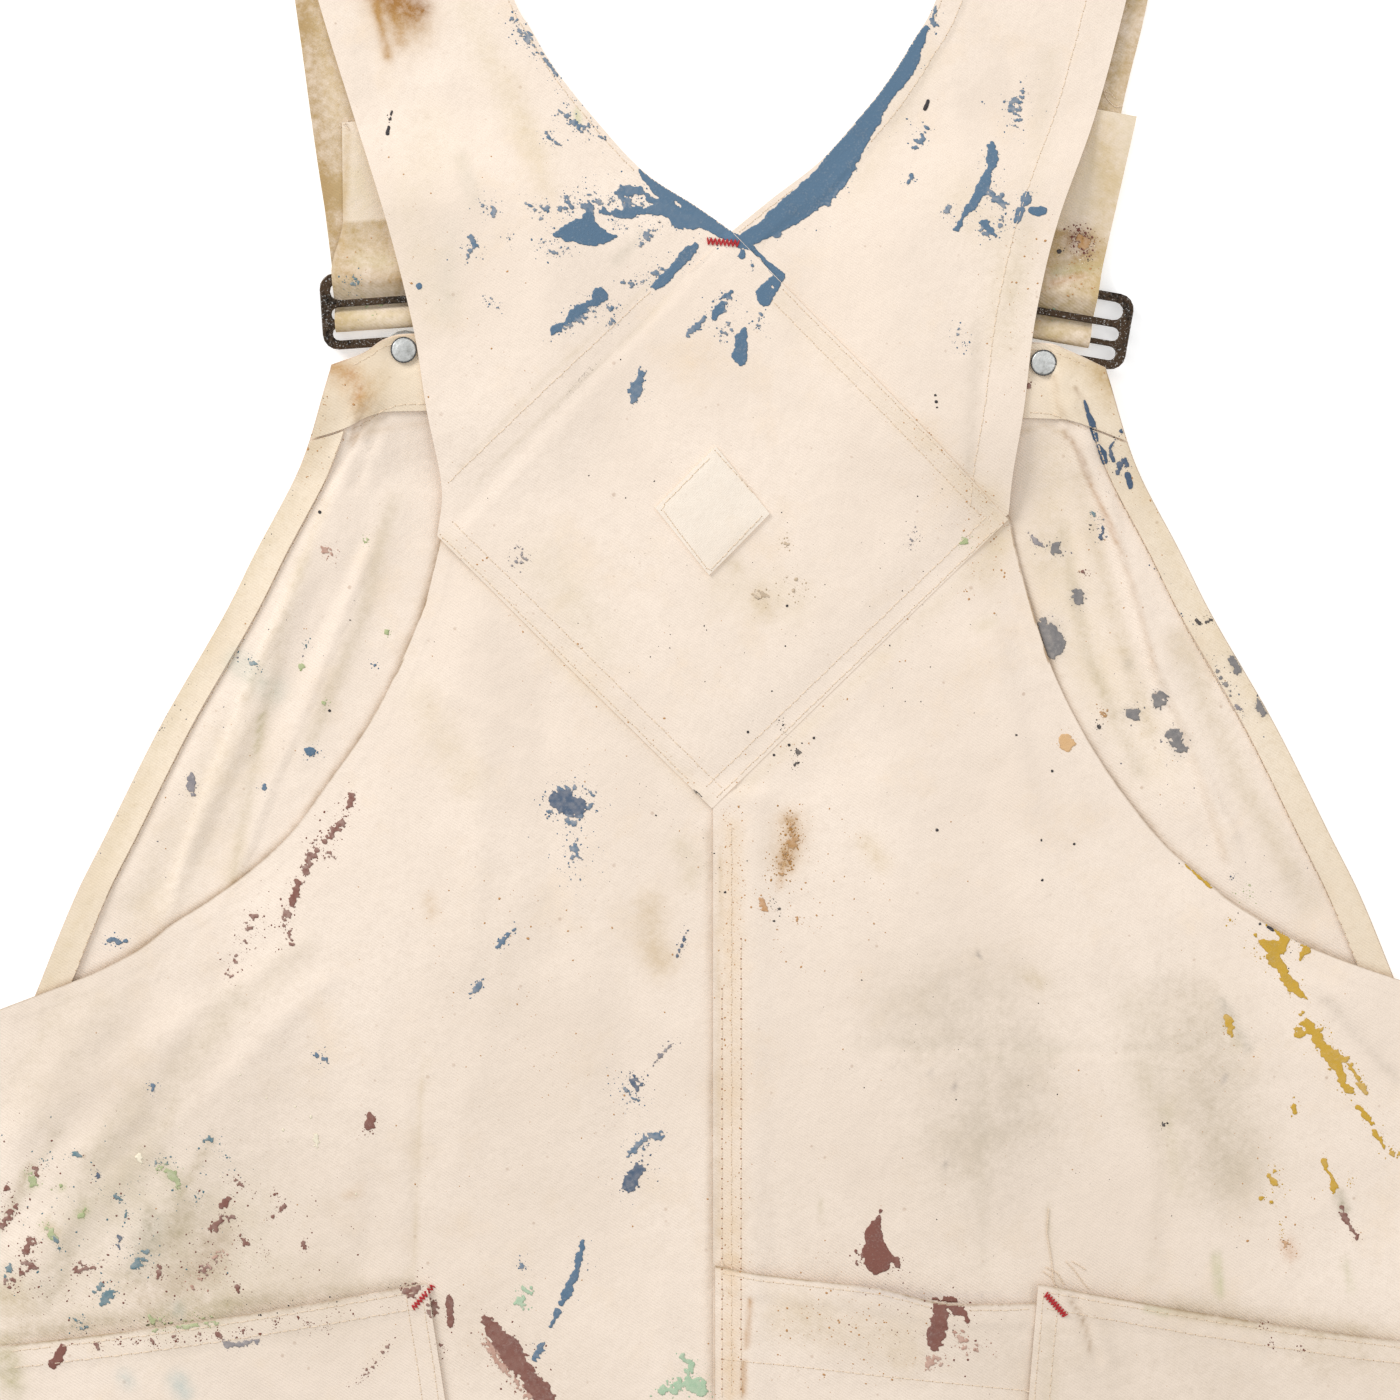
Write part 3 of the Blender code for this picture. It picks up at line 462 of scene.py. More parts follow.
    ("yellow", 0.6, (1269, 958, 3), (1276, 962, 5), (1283, 972, 6), (1288, 980, 5), (1294, 987, 4.6)),
    ("yellow", 0.6, (1294, 987, 4.4), (1300, 993, 2.6), (1307, 999, 1)),
    ("yellow", 0.7, (1303, 1014, 3), (1306, 1022, 5.4), (1312, 1030, 6), (1318, 1038, 7), (1324, 1047, 6)),
    ("yellow", 0.7, (1324, 1047, 6), (1330, 1056, 6),
     (1336, 1064, 6), (1341, 1073, 4.4), (1345, 1081, 2.4)),
    ("yellow", 0.8, (1300, 1031, 3.4), (1309, 1032, 4)),
    ("yellow", 1.0, (1322, 1029, 2.6), (1330, 1041, 3),
     (1340, 1056, 4), (1350, 1066, 4), (1357, 1077, 2.6)),
    ("yellow", 1.3, (1357, 1077, 2), (1362, 1086, 1.6), (1366, 1094, 1.2)),
    ("yellow", 0.7, (1340, 1082, 2.4), (1349, 1090, 4)),
    ("bare", 0.7, (1331, 1042, 2), (1335, 1048, 1.6)),
    ("bare", 0.7, (1304, 1029, 1.6)),
    ("yellow", 0.5, (1358, 1106, 2.8), (1362, 1110, 4), (1368, 1119, 4.2), (1372, 1125, 2.6)),
    ("yellow", 0.6, (1374, 1131, 3), (1380, 1139, 5), (1385, 1148, 3)),
    ("yellow", 1.3, (1386, 1157, 3), (1396, 1153, 4), (1406, 1158, 4)),
    ("yellow", 0.5, (1293, 1106, 1.3), (1294, 1112, 2.6)),
    ("yellow", 0.8, (1324, 1161, 2.2), (1326, 1168, 3),
     (1331, 1174, 2.6), (1334, 1186, 2.4), (1334, 1193, 2.2)),
    ("brown", 1.3, (1342, 1208, 1.6), (1348, 1224, 1.8), (1358, 1238, 1.2)),
    ("yellow", 1.2, (1276, 1167, 1.8), (1271, 1176, 3.6), (1275, 1184, 2.6), (1281, 1190, 2.4)),
    ("yellow", 0.7, (1262, 1199, 2)),
    ("yellow", 0.7, (1272, 1203, 1.3)),
    ("yellow", 1.6, (1349, 1178, 2), (1353, 1183, 2)),
    ("yellow", 1.8, (1282, 1224, 1.2), (1284, 1236, 1.2)),
    ("yellow", 1.2, (1226, 1017, 2), (1230, 1026, 2.4), (1233, 1034, 1.6)),
    ("yellow", 0.9, (1228, 1021, 2.6), (1232, 1035, 1.4)),
    ("yellow", 0.6, (1230, 920, 1.4)),
    ("black", 0.3, (1260, 924, 1.2)),
    ("black", 0.3, (1268, 927, 1.6), (1273, 930, 1)),
    ("black", 1.2, (1294, 937, 1), (1300, 940, 1)),
    ("rust", 1.9, (1286, 1244, 4), (1291, 1254, 4)),
    ("green", 0.7, (963, 541, 3.4)),
    ("grey", 2.4, (915, 528, 2), (914, 534, 2.6), (911, 544, 2)),
    ("black", 1.0, (1165, 1126, 2.2)),
    ("cream", 0.8, (316, 1136, 2), (317, 1150, 2.4)),
    ("cream", 1.9, (138, 1156, 4), (142, 1162, 3)),
    ("grey", 2.7, (516, 548, 5), (526, 560, 5), (512, 566, 4)),
    ("dust", 2.3, (790, 576, 5), (795, 588, 6), (800, 598, 4)),
    ("dust", 2.4, (758, 594, 5), (766, 596, 4)),
    ("dust", 2.2, (786, 544, 5)),
    ("ochre", 2.2, (789, 820, 6), (795, 838, 8), (786, 854, 8), (781, 868, 4), (779, 884, 2.4)),
    ("sand", 0.6, (1065, 739, 5.2), (1067, 744, 5)),
    ("black", 1.5, (777, 722, 2), (784, 728, 2)),
    ("black", 1.4, (797, 753, 2), (796, 762, 2.4), (794, 767, 1.6)),
    ("black", 1.2, (773, 901, 1.6), (779, 909, 2)),
    ("rust", 1.4, (760, 899, 2.4), (763, 903, 2.4), (766, 912, 1.6)),
    ("rust", 0.6, (797, 918, 2), (797, 922, 1.8)),
]
strokesOnBack += [
    ("black", 0.1, (across, down, 1.4))
    for across, down in (
        (748, 732), (814, 738), (774, 755), (789, 745), (787, 606), (1052, 771), (1016, 735),
        (1041, 840), (1074, 844), (937, 830), (1042, 880), (774, 921), (725, 892),
    )
]
strokesOnBack += [
    ("brown", 1.3, (across, down, 1.7), (across + 2, down + 4, 1.1))
    for across, down in (
        (96, 1343), (119, 1339), (135, 1338), (153, 1340), (176, 1335), (201, 1334), (219, 1332),
        (244, 1328), (276, 1321), (308, 1321), (327, 1324), (20, 1270), (34, 1238), (236, 1288),
        (264, 1252), (302, 1244), (1262, 1322), (1300, 1346), (1270, 1338),
    )
]
strokesOnBib = [
    ("inkBlue", 0.3, (1083, 402, 0.9), (1086, 412, 1.3)),
    ("inkBlue", 0.3, (1087, 416, 1.6), (1091, 425, 3.2), (1094, 434, 1.9), (1096, 442, 0.9)),
    ("inkBlue", 0.3, (1098, 446, 1.4), (1102, 454, 3), (1104, 462, 2)),
    ("inkBlue", 0.9, (1115, 439, 0.9), (1110, 446, 0.9), (1110, 455, 0.9), (1113, 460, 0.6)),
    ("inkBlue", 0.9, (1118, 473, 0.9), (1121, 462, 1.3), (1125, 459, 1.8), (1127, 467, 1.5)),
    ("inkBlue", 0.3, (1128, 474, 2.2), (1130, 482, 3.3), (1131, 487, 2.6)),
    ("inkBlue", 0.8, (1121, 432, 1.6)),
    ("inkBlue", 1.0, (1102, 522, 1.5), (1104, 532, 2), (1100, 540, 1.5)),
    ("soot", 0.95, (1057, 546, 4.6), (1058, 550, 4.4)),
    ("soot", 0.95, (1078, 594, 4.4), (1079, 600, 4.4)),
    ("soot", 0.6, (1046, 634, 7), (1050, 644, 7), (1052, 652, 4)),
    ("soot", 1.3, (1046, 630, 12), (1050, 646, 13)),
    ("soot", 0.8, (1052, 628, 8), (1056, 640, 8), (1056, 650, 6)),
    ("soot", 0.95, (1160, 697, 4.6), (1160, 702, 4.4)),
    ("soot", 0.95, (1129, 714, 5), (1134, 714, 5)),
    ("soot", 0.95, (1176, 738, 6), (1179, 748, 6)),
    ("soot", 0.8, (1232, 658, 5), (1238, 668, 6)),
    ("soot", 0.95, (1260, 704, 4.6), (1265, 712, 5)),
    ("soot", 1.4, (1215, 666, 1.4), (1224, 682, 3), (1230, 692, 1.4)),
    ("grey", 1.5, (1236, 704, 1.4), (1243, 714, 1.4)),
    ("black", 0.8, (1196, 620, 1.2), (1199, 623, 1.2)),
    ("black", 1.4, (1207, 622, 1.6), (1213, 618, 1.8)),
    ("ochre", 1.6, (1101, 711, 2.4), (1106, 716, 3)),
    ("black", 0.9, (1100, 726, 1.8)),
    ("brown", 1.3, (1083, 571, 2), (1087, 575, 2)),
    ("teal", 1.0, (306, 644, 2)),
    ("black", 0.4, (329, 711, 1.5)),
    ("black", 0.4, (350, 620, 1.5)),
    ("black", 0.4, (319, 512, 1.4)),
    ("blue", 0.8, (374, 665, 2)),
    ("softBrown", 1.5, (324, 549, 3), (331, 553, 3)),
    ("green", 0.8, (386, 632, 2)),
    ("green", 1.0, (301, 666, 1.8)),
    ("green", 1.0, (324, 703, 1.8)),
    ("green", 1.0, (366, 539, 2)),
    ("grey", 1.9, (1028, 532, 2), (1036, 542, 2), (1042, 546, 1.6)),
    ("grey", 1.1, (191, 774, 2.6), (192, 784, 4), (190, 792, 2)),
    ("blue", 0.5, (307, 751, 2), (311, 752, 4.4), (315, 750, 2)),
    ("blue", 0.9, (263, 787, 2.4)),
    ("blue", 1.0, (104, 942, 2), (112, 940, 3.4), (124, 942, 2)),
    ("teal", 1.8, (238, 652, 3), (252, 664, 3), (262, 668, 2)),
    ("teal", 1.5, (1093, 512, 2), (1096, 518, 1.6)),
    ("black", 1.0, (1093, 524, 1.4)),
    ("brown", 1.4, (1028, 386, 3.4)),
    ("grey", 2.1, (152, 732, 4), (162, 716, 4)),
    ("inkBlue", 0.9, (1233, 876, 1.6)),
    ("green", 2.0, (1248, 894, 5)),
]
strokesOnEnds = [
    ("teal", 1.8, (346, 286, 3), (356, 282, 5)),
    ("ochre", 1.5, (1078, 236, 8), (1086, 245, 8)),
    ("brown", 1.6, (1080, 238, 5), (1085, 244, 5)),
    ("black", 0.6, (1060, 251, 1.4)),
    ("black", 0.6, (1089, 259, 1.2)),
    ("mint", 1.5, (1054, 316, 4)),
    ("green", 2.2, (362, 303, 4), (376, 304, 3)),
    ("cream", 0.7, (1089, 243, 1.2)),
    ("cream", 0.7, (1076, 253, 1.2)),
    ("cream", 0.7, (1081, 261, 1.4)),
]

# Small spatter: the paint, how many drops, their size and how far they scatter
# from a line of places, in pixels
spatterOnBack = [
    ("blue", 60, 0.9, 9, (600, 196), (650, 200), (700, 226), (730, 246)),
    ("blue", 50, 0.9, 11, (548, 250), (580, 200), (600, 190)),
    ("blue", 30, 0.8, 8, (556, 334), (600, 304), (620, 318)),
    ("blue", 26, 0.8, 8, (640, 290), (670, 262)),
    ("blue", 30, 0.8, 10, (690, 334), (730, 300), (760, 330)),
    ("blue", 70, 0.8, 9, (510, 10), (560, 90), (610, 140)),
    ("blue", 60, 0.8, 12, (1020, 90), (990, 150), (985, 230), (1020, 220)),
    ("blue", 30, 0.8, 12, (920, 60), (870, 150), (810, 220)),
    ("blue", 40, 0.9, 16, (560, 800), (576, 860)),
    ("blue", 24, 0.8, 10, (620, 1080), (650, 1150), (620, 1190)),
    ("black", 34, 0.7, 26, (930, 480), (915, 560), (900, 700)),
    ("black", 30, 0.6, 30, (640, 560), (740, 700), (800, 780)),
    ("black", 26, 0.7, 12, (640, 780), (700, 830), (720, 900)),
    ("brown", 260, 0.8, 46, (10, 1180), (120, 1230), (250, 1220), (330, 1240)),
    ("brown", 120, 0.8, 16, (20, 1300), (140, 1290), (260, 1260)),
    ("teal", 110, 0.8, 40, (20, 1170), (130, 1250), (220, 1160)),
    ("brown", 90, 0.9, 5, (60, 1344), (180, 1337), (300, 1322), (400, 1300)),
    ("black", 60, 0.7, 4, (90, 1331), (200, 1318), (330, 1300), (410, 1288)),
    ("brown", 60, 0.8, 12, (350, 800), (300, 870), (240, 970)),
    ("rust", 120, 0.8, 22, (965, 500), (1000, 540), (985, 580)),
    ("rust", 80, 0.7, 9, (900, 410), (940, 460), (990, 510)),
    ("rust", 230, 0.6, 9, (731, 820), (731, 1000), (731, 1200), (731, 1400)),
    ("rust", 110, 0.6, 9, (724, 800), (731, 830), (731, 980)),
    ("rust", 40, 0.7, 10, (740, 790), (860, 680), (960, 580)),
    ("ochre", 190, 0.9, 6, (789, 818), (794, 842), (785, 858), (781, 872)),
    ("rust", 60, 0.8, 10, (440, 520), (560, 650), (700, 790)),
    ("rust", 150, 0.9, 30, (780, 1320), (860, 1330), (900, 1350)),
    ("rust", 90, 0.9, 40, (420, 900), (520, 900), (560, 1120)),
    ("rust", 60, 0.9, 30, (860, 850), (790, 900), (800, 960)),
    ("rust", 70, 0.9, 40, (1180, 1010), (1250, 1100), (1290, 1230)),
    ("black", 60, 0.6, 60, (860, 960), (960, 1040), (1120, 1230)),
    ("rust", 100, 0.7, 90, (500, 700), (900, 900)),
    ("black", 80, 0.6, 120, (500, 500), (900, 700)),
    ("rust", 120, 0.7, 120, (150, 1050), (600, 1250), (1200, 1250)),
    ("yellow", 26, 0.8, 10, (1270, 940), (1330, 1060), (1380, 1150)),
    ("black", 40, 0.6, 16, (1190, 860), (1260, 920), (1300, 940)),
    ("rust", 60, 0.8, 20, (1010, 240), (1020, 330), (1000, 400)),
    ("rust", 60, 0.7, 40, (420, 120), (500, 330), (470, 440)),
    ("cream", 30, 1.0, 40, (200, 1140), (320, 1150)),
    ("brown", 70, 0.9, 24, (860, 1250), (935, 1320), (960, 1360)),
    ("brown", 50, 0.9, 16, (480, 1330), (540, 1400)),
]
spatterOnBib = [
    ("rust", 60, 0.8, 16, (345, 375), (325, 430), (300, 480)),
    ("black", 20, 0.6, 12, (340, 385), (300, 470), (280, 520)),
    ("rust", 40, 0.7, 30, (380, 470), (300, 640), (180, 860)),
    ("grey", 40, 0.7, 30, (330, 560), (230, 680), (150, 860)),
    ("black", 20, 0.6, 10, (1116, 440), (1110, 480), (1094, 530)),
    ("rust", 50, 0.7, 30, (1060, 460), (1120, 600), (1200, 800)),
    ("grey", 40, 0.7, 26, (1050, 560), (1130, 700), (1260, 880)),
    ("inkBlue", 24, 0.9, 5, (1150, 560), (1230, 680), (1270, 740)),
    ("black", 30, 0.7, 5, (280, 510), (200, 660), (130, 780)),
    ("rust", 50, 0.8, 10, (1110, 376), (1126, 430), (1150, 520)),
]
spatterOnEnds = [
    ("rust", 60, 0.9, 14, (1050, 280), (1100, 280)),
    ("brown", 30, 0.8, 10, (1070, 230), (1090, 250)),
    ("brown", 170, 0.9, 6, (1080, 237), (1086, 245)),
    ("rust", 30, 0.8, 12, (350, 260), (400, 285)),
    ("black", 14, 0.7, 14, (360, 300), (400, 330)),
    ("cream", 14, 0.8, 10, (1080, 240), (1090, 262)),
]

# Soft stains, some painted shade and some broad darker tones: screen colour, strength, half width in
# pixels, then a line of places
stainsAndShadeOnBack = [
    ((196, 160, 110), 0.6, 26, (384, -20), (404, 4), (408, 22)),
    ((168, 120, 66), 0.9, 15, (380, -18), (396, 2), (412, 10)),
    ((190, 148, 94), 0.7, 5, (376, 6), (382, 30), (388, 56)),
    ((190, 148, 94), 0.6, 7, (396, 20), (400, 40)),
    ((150, 102, 52), 0.7, 8, (414, -4), (424, 6)),
    ((180, 132, 72), 0.85, 9, (790, 822), (793, 840), (786, 854), (784, 864)),
    ((196, 150, 90), 0.55, 4, (783, 866), (779, 886)),
    ((206, 172, 124), 0.4, 17, (790, 826), (786, 858)),
    ((210, 186, 150), 0.5, 17, (650, 905), (652, 944), (660, 960)),
    ((206, 188, 152), 0.35, 12, (680, 846), (694, 866), (690, 880)),
    ((194, 194, 148), 0.6, 5, (1217, 1256), (1221, 1294)),
    ((198, 194, 152), 0.5, 4, (1345, 1262), (1353, 1292)),
    ((140, 136, 100), 0.7, 5, (1338, 1194), (1345, 1210)),
    ((206, 190, 140), 0.5, 6, (1228, 1022), (1238, 1044)),
    # Painted shadow of the brush pocket's raised top edge on the panel above it
    ((202, 192, 192), 0.6, 5, (860, 1288), (940, 1298), (1020, 1300)),
    ((206, 186, 150), 0.5, 4, (1160, 1310), (1230, 1322), (1320, 1334)),
    ((186, 186, 140), 0.5, 4, (1146, 1308), (1166, 1312)),
    # Large greyer patches, darker, on the lower right of the back
    ((208, 193, 172), 0.5, 50, (930, 1010), (1000, 1010), (1010, 1110), (960, 1150)),
    ((216, 201, 184), 0.36, 84, (950, 1040), (1010, 1160)),
    ((208, 192, 170), 0.55, 40, (1192, 1000), (1212, 1080), (1222, 1160)),
    ((212, 197, 176), 0.45, 54, (1190, 1060), (1234, 1170)),
    ((196, 186, 170), 0.6, 5, (1222, 1000), (1234, 1024), (1248, 1048)),
    ((206, 192, 176), 0.4, 6, (1328, 1000), (1362, 1042), (1400, 1082)),
    ((120, 116, 118), 0.7, 2.6, (978, 953), (978, 954)),
    ((120, 116, 118), 0.7, 2.6, (931, 1074), (931, 1075)),
    ((120, 116, 118), 0.6, 2.2, (956, 1085), (956, 1086)),
    ((120, 116, 118), 0.7, 2.8, (946, 1167), (946, 1168)),
    ((120, 116, 118), 0.6, 2.2, (996, 1169), (996, 1170)),
    ((130, 126, 126), 0.6, 2.2, (1225, 1078), (1226, 1079)),
    ((206, 186, 150), 0.5, 9, (1030, 975), (1040, 984)),
    ((204, 194, 166), 0.35, 60, (110, 1200), (220, 1230), (180, 1280)),
    ((176, 160, 128), 0.5, 16, (190, 1200), (176, 1230), (150, 1258), (130, 1280)),
    ((176, 150, 124), 0.45, 20, (216, 1240), (204, 1270), (150, 1296)),
    ((150, 156, 140), 0.4, 12, (150, 1226), (140, 1266)),
    ((180, 172, 132), 0.6, 7, (164, 1164), (172, 1178), (180, 1190)),
    ((182, 186, 120), 0.7, 3.4, (60, 1184), (61, 1189)),
    ((182, 186, 120), 0.7, 4.4, (82, 1214), (85, 1209)),
    ((182, 186, 126), 0.6, 5, (28, 1172), (33, 1186)),
    ((190, 170, 120), 0.5, 5, (46, 1222), (56, 1236)),
    ((196, 176, 136), 0.5, 18, (0, 1296), (20, 1310)),
    ((170, 150, 116), 0.5, 6, (30, 1168), (14, 1200), (0, 1228)),
    ((206, 190, 158), 0.32, 40, (20, 1290), (180, 1300), (330, 1290)),
    ((172, 156, 122), 0.5, 9, (6, 1338), (120, 1320), (240, 1306), (410, 1284)),
    ((180, 170, 128), 0.5, 12, (150, 1318), (220, 1314)),
    ((190, 172, 136), 0.35, 10, (1180, 1306), (1320, 1328), (1400, 1338)),
    ((206, 184, 146), 0.3, 26, (1300, 1350), (1400, 1362)),
    ((214, 194, 158), 0.4, 3.4, (426, 1060), (418, 1120), (414, 1180), (416, 1250), (409, 1276)),
    ((198, 180, 148), 0.5, 4, (176, 1100), (166, 1130)),
    ((190, 174, 142), 0.55, 5, (212, 1138), (200, 1160), (182, 1190)),
    ((186, 172, 146), 0.55, 6, (150, 1210), (146, 1240), (140, 1262)),
    ((196, 180, 154), 0.5, 4, (70, 1250), (60, 1282), (50, 1300)),
    ((192, 178, 152), 0.5, 6, (58, 1132), (36, 1168), (10, 1216)),
    ((206, 192, 170), 0.45, 12, (132, 1096), (98, 1160), (72, 1230), (44, 1300)),
    ((210, 196, 172), 0.4, 14, (230, 1000), (170, 1100), (130, 1180)),
    ((214, 198, 172), 0.3, 16, (300, 950), (180, 1060), (90, 1160)),
    ((216, 200, 170), 0.3, 5, (60, 1000), (30, 1060)),
    ((222, 204, 174), 0.3, 20, (420, 700), (470, 780)),
    ((222, 206, 178), 0.3, 26, (540, 560), (600, 640)),
    ((228, 210, 180), 0.3, 24, (730, 585), (790, 605)),
    # Broad faint tones, darker towards the bottom of the back
    ((226, 210, 192), 0.3, 100, (500, 960), (560, 1160)),
    ((220, 204, 186), 0.32, 120, (60, 1010), (200, 1100), (340, 1200)),
    ((224, 208, 190), 0.3, 90, (820, 1240), (1000, 1380), (1300, 1390)),
    ((222, 200, 162), 0.45, 20, (990, 500), (1000, 530), (985, 575)),
    ((230, 211, 182), 0.3, 11, (780, 300), (880, 400), (985, 505)),
    ((230, 213, 186), 0.3, 9, (446, 540), (560, 660), (704, 800)),
    ((230, 212, 184), 0.3, 9, (740, 792), (870, 668), (1000, 545)),
    ((206, 190, 162), 0.3, 2.4, (476, 484), (560, 402), (684, 284)),
    ((214, 196, 166), 0.25, 2.4, (460, 470), (540, 386), (660, 274)),
    ((222, 206, 176), 0.3, 26, (430, 130), (410, 230), (440, 310)),
    ((206, 198, 178), 0.3, 9, (462, 160), (476, 204)),
    ((226, 208, 176), 0.35, 16, (466, 0), (500, 90), (540, 150)),
    ((220, 210, 194), 0.35, 14, (452, 226), (446, 306)),
    ((228, 208, 176), 0.35, 12, (510, 80), (530, 150), (548, 190)),
    ((176, 190, 110), 0.5, 3.5, (577, 112), (578, 122)),
    ((206, 196, 178), 0.4, 6, (640, 236), (616, 262)),
    ((228, 210, 180), 0.25, 12, (930, 60), (880, 150), (850, 200)),
    ((226, 208, 176), 0.35, 24, (966, 200), (1010, 260), (1000, 340)),
    ((206, 192, 174), 0.35, 8, (975, 330), (972, 400), (968, 470)),
    ((222, 206, 182), 0.3, 12, (1050, 60), (1030, 200), (1005, 330)),
    ((206, 152, 104), 0.5, 8, (1288, 1244), (1292, 1254)),
    ((190, 140, 84), 0.7, 3, (750, 1299), (747, 1345)),
    ((184, 134, 76), 0.7, 3, (744, 1362), (743, 1394)),
    ((230, 196, 152), 0.45, 11, (731, 1268), (731, 1330), (731, 1404)),
    ((234, 204, 164), 0.4, 12, (731, 830), (731, 1000), (731, 1260)),
    ((212, 186, 150), 0.5, 2.4, (720, 850), (719, 1010), (718, 1240)),
    # Painted shadow beside the left edge of the felled centre seam
    ((206, 186, 164), 0.5, 4, (709, 830), (710, 1000), (711, 1270), (712, 1400)),
    ((212, 188, 148), 0.3, 24, (790, 1320), (860, 1330), (900, 1350)),
    ((216, 192, 148), 0.4, 10, (866, 842), (882, 862)),
    ((214, 198, 164), 0.4, 7, (978, 626), (992, 622)),
    ((206, 186, 150), 0.5, 7, (728, 562), (736, 566)),
    ((214, 192, 158), 0.4, 10, (758, 596), (766, 612)),
    ((214, 180, 134), 0.45, 7, (430, 898), (432, 916)),
    ((214, 180, 140), 0.4, 5, (358, 1192), (346, 1196)),
    ((212, 198, 174), 0.3, 26, (1130, 1010), (1150, 1100)),
    ((206, 192, 160), 0.4, 8, (1166, 1112), (1172, 1150), (1178, 1190)),
    ((196, 184, 152), 0.4, 3, (820, 1200), (824, 1222)),
    ((198, 182, 148), 0.45, 3, (1048, 1206), (1054, 1262), (1058, 1290)),
    ((160, 128, 90), 0.6, 2.4, (1068, 1298), (1078, 1310), (1086, 1328), (1090, 1350)),
    ((206, 190, 160), 0.35, 9, (1046, 1330), (1050, 1400)),
    ((208, 198, 176), 0.2, 5, (960, 1060), (1060, 1052)),
    ((212, 198, 176), 0.16, 9, (860, 1046), (1000, 1042), (1110, 1048)),
    ((212, 198, 174), 0.16, 7, (984, 1060), (982, 1160), (984, 1280)),
    ((212, 196, 172), 0.18, 7, (1146, 1070), (1160, 1180), (1150, 1280)),
    ((186, 204, 200), 0.55, 10, (178, 1380), (184, 1392)),
    ((196, 206, 200), 0.5, 8, (124, 1376), (128, 1382)),
    ((190, 176, 130), 0.7, 14, (4, 1352), (10, 1372)),
    ((186, 200, 196), 0.45, 6, (176, 1308), (180, 1316)),
    ((176, 170, 128), 0.5, 12, (8, 1360), (14, 1390)),
    ((200, 180, 150), 0.5, 6, (140, 1300), (148, 1316)),
    # More broad darker tones, mostly low on the back
    ((222, 206, 184), 0.35, 40, (90, 1020), (40, 1100)),
    ((222, 204, 184), 0.4, 50, (480, 1330), (560, 1400)),
    ((222, 205, 186), 0.4, 60, (1000, 1330), (1200, 1380)),
]
stainsAndShadeOnBib = [
    ((140, 134, 132), 0.62, 8.5, (1050, 632), (1050, 646)),
    ((160, 152, 146), 0.36, 14, (1050, 630), (1051, 650)),
    ((156, 150, 150), 0.6, 7.4, (1057, 546), (1058, 550)),
    ((156, 150, 150), 0.6, 7.4, (1078, 594), (1079, 600)),
    ((156, 150, 150), 0.6, 7.4, (1160, 697), (1160, 702)),
    ((156, 150, 150), 0.6, 7.4, (1129, 714), (1134, 714)),
    ((156, 150, 150), 0.6, 8.4, (1176, 738), (1179, 748)),
    ((120, 118, 120), 0.75, 5.4, (1235, 661), (1239, 668)),
    ((112, 108, 112), 0.75, 5.0, (1261, 706), (1263, 710)),
    ((196, 190, 186), 0.5, 5, (1128, 662), (1129, 667)),
    ((150, 116, 84), 0.8, 1.8, (1074, 388), (1085, 410), (1096, 436), (1103, 463)),
    ((196, 150, 92), 0.85, 13, (336, 368), (352, 382), (364, 400)),
    ((188, 132, 76), 0.8, 4, (352, 374), (362, 384), (360, 398)),
    ((206, 168, 112), 0.6, 7, (364, 374), (372, 390), (364, 412)),
    ((214, 188, 146), 0.4, 10, (326, 400), (318, 440), (300, 474)),
    ((208, 180, 138), 0.55, 6, (366, 352), (394, 340), (416, 334)),
    ((186, 150, 112), 0.6, 2.6, (366, 404), (359, 420), (352, 440)),
    ((196, 162, 122), 0.5, 2.4, (376, 400), (366, 424), (352, 444)),
    ((206, 180, 140), 0.45, 8, (384, 372), (382, 400), (372, 424)),
    ((190, 158, 104), 0.8, 11, (1096, 368), (1112, 384)),
    ((210, 184, 142), 0.5, 10, (1060, 356), (1084, 368), (1108, 404)),
    ((222, 200, 162), 0.3, 8, (1120, 420), (1140, 480), (1180, 570),
     (1260, 700), (1330, 830), (1400, 960)),
    ((222, 202, 164), 0.3, 8, (290, 500), (226, 610), (164, 730), (100, 870), (44, 990)),
    ((206, 208, 192), 0.65, 13, (238, 662), (254, 676), (272, 690)),
    ((176, 172, 124), 0.6, 2.6, (261, 715), (255, 751)),
    ((242, 225, 205), 0.85, 12, (1036, 384), (1034, 420)),
    ((238, 219, 188), 0.4, 30, (1046, 470), (1060, 560), (1100, 680), (1160, 760)),
    # Painted shade in the creases on the left of the bib
    ((206, 188, 156), 0.4, 5, (326, 500), (296, 580), (246, 700)),
    ((206, 190, 160), 0.4, 6, (302, 560), (262, 720), (232, 880)),
    ((200, 184, 156), 0.4, 8, (392, 500), (360, 620), (310, 740)),
    ((224, 206, 176), 0.3, 36, (240, 740), (150, 900)),
    # Painted shade down the large fold and creases on the right of the bib
    ((160, 116, 74), 0.85, 2.4, (1064, 433), (1075, 446), (1084, 466), (1091, 484)),
    ((186, 142, 100), 0.7, 2.8, (1091, 484), (1104, 512), (1118, 543)),
    ((198, 162, 124), 0.35, 3, (1118, 543), (1138, 604), (1154, 668)),
    ((204, 176, 142), 0.25, 4, (1154, 668), (1176, 713), (1206, 794), (1226, 858)),
    ((190, 160, 124), 0.5, 3, (1053, 378), (1057, 405), (1065, 424)),
    ((206, 186, 152), 0.4, 9, (1080, 480), (1110, 600), (1150, 730)),
    ((196, 180, 150), 0.4, 7, (1060, 520), (1090, 660), (1140, 770)),
    ((204, 186, 154), 0.35, 14, (1180, 640), (1240, 780), (1310, 900)),
    ((200, 172, 132), 0.5, 3, (1020, 432), (1040, 426), (1062, 432)),
    ((196, 166, 128), 0.45, 2.4, (364, 436), (392, 427), (428, 425)),
    ((216, 196, 162), 0.4, 22, (1050, 450), (1040, 560)),
]
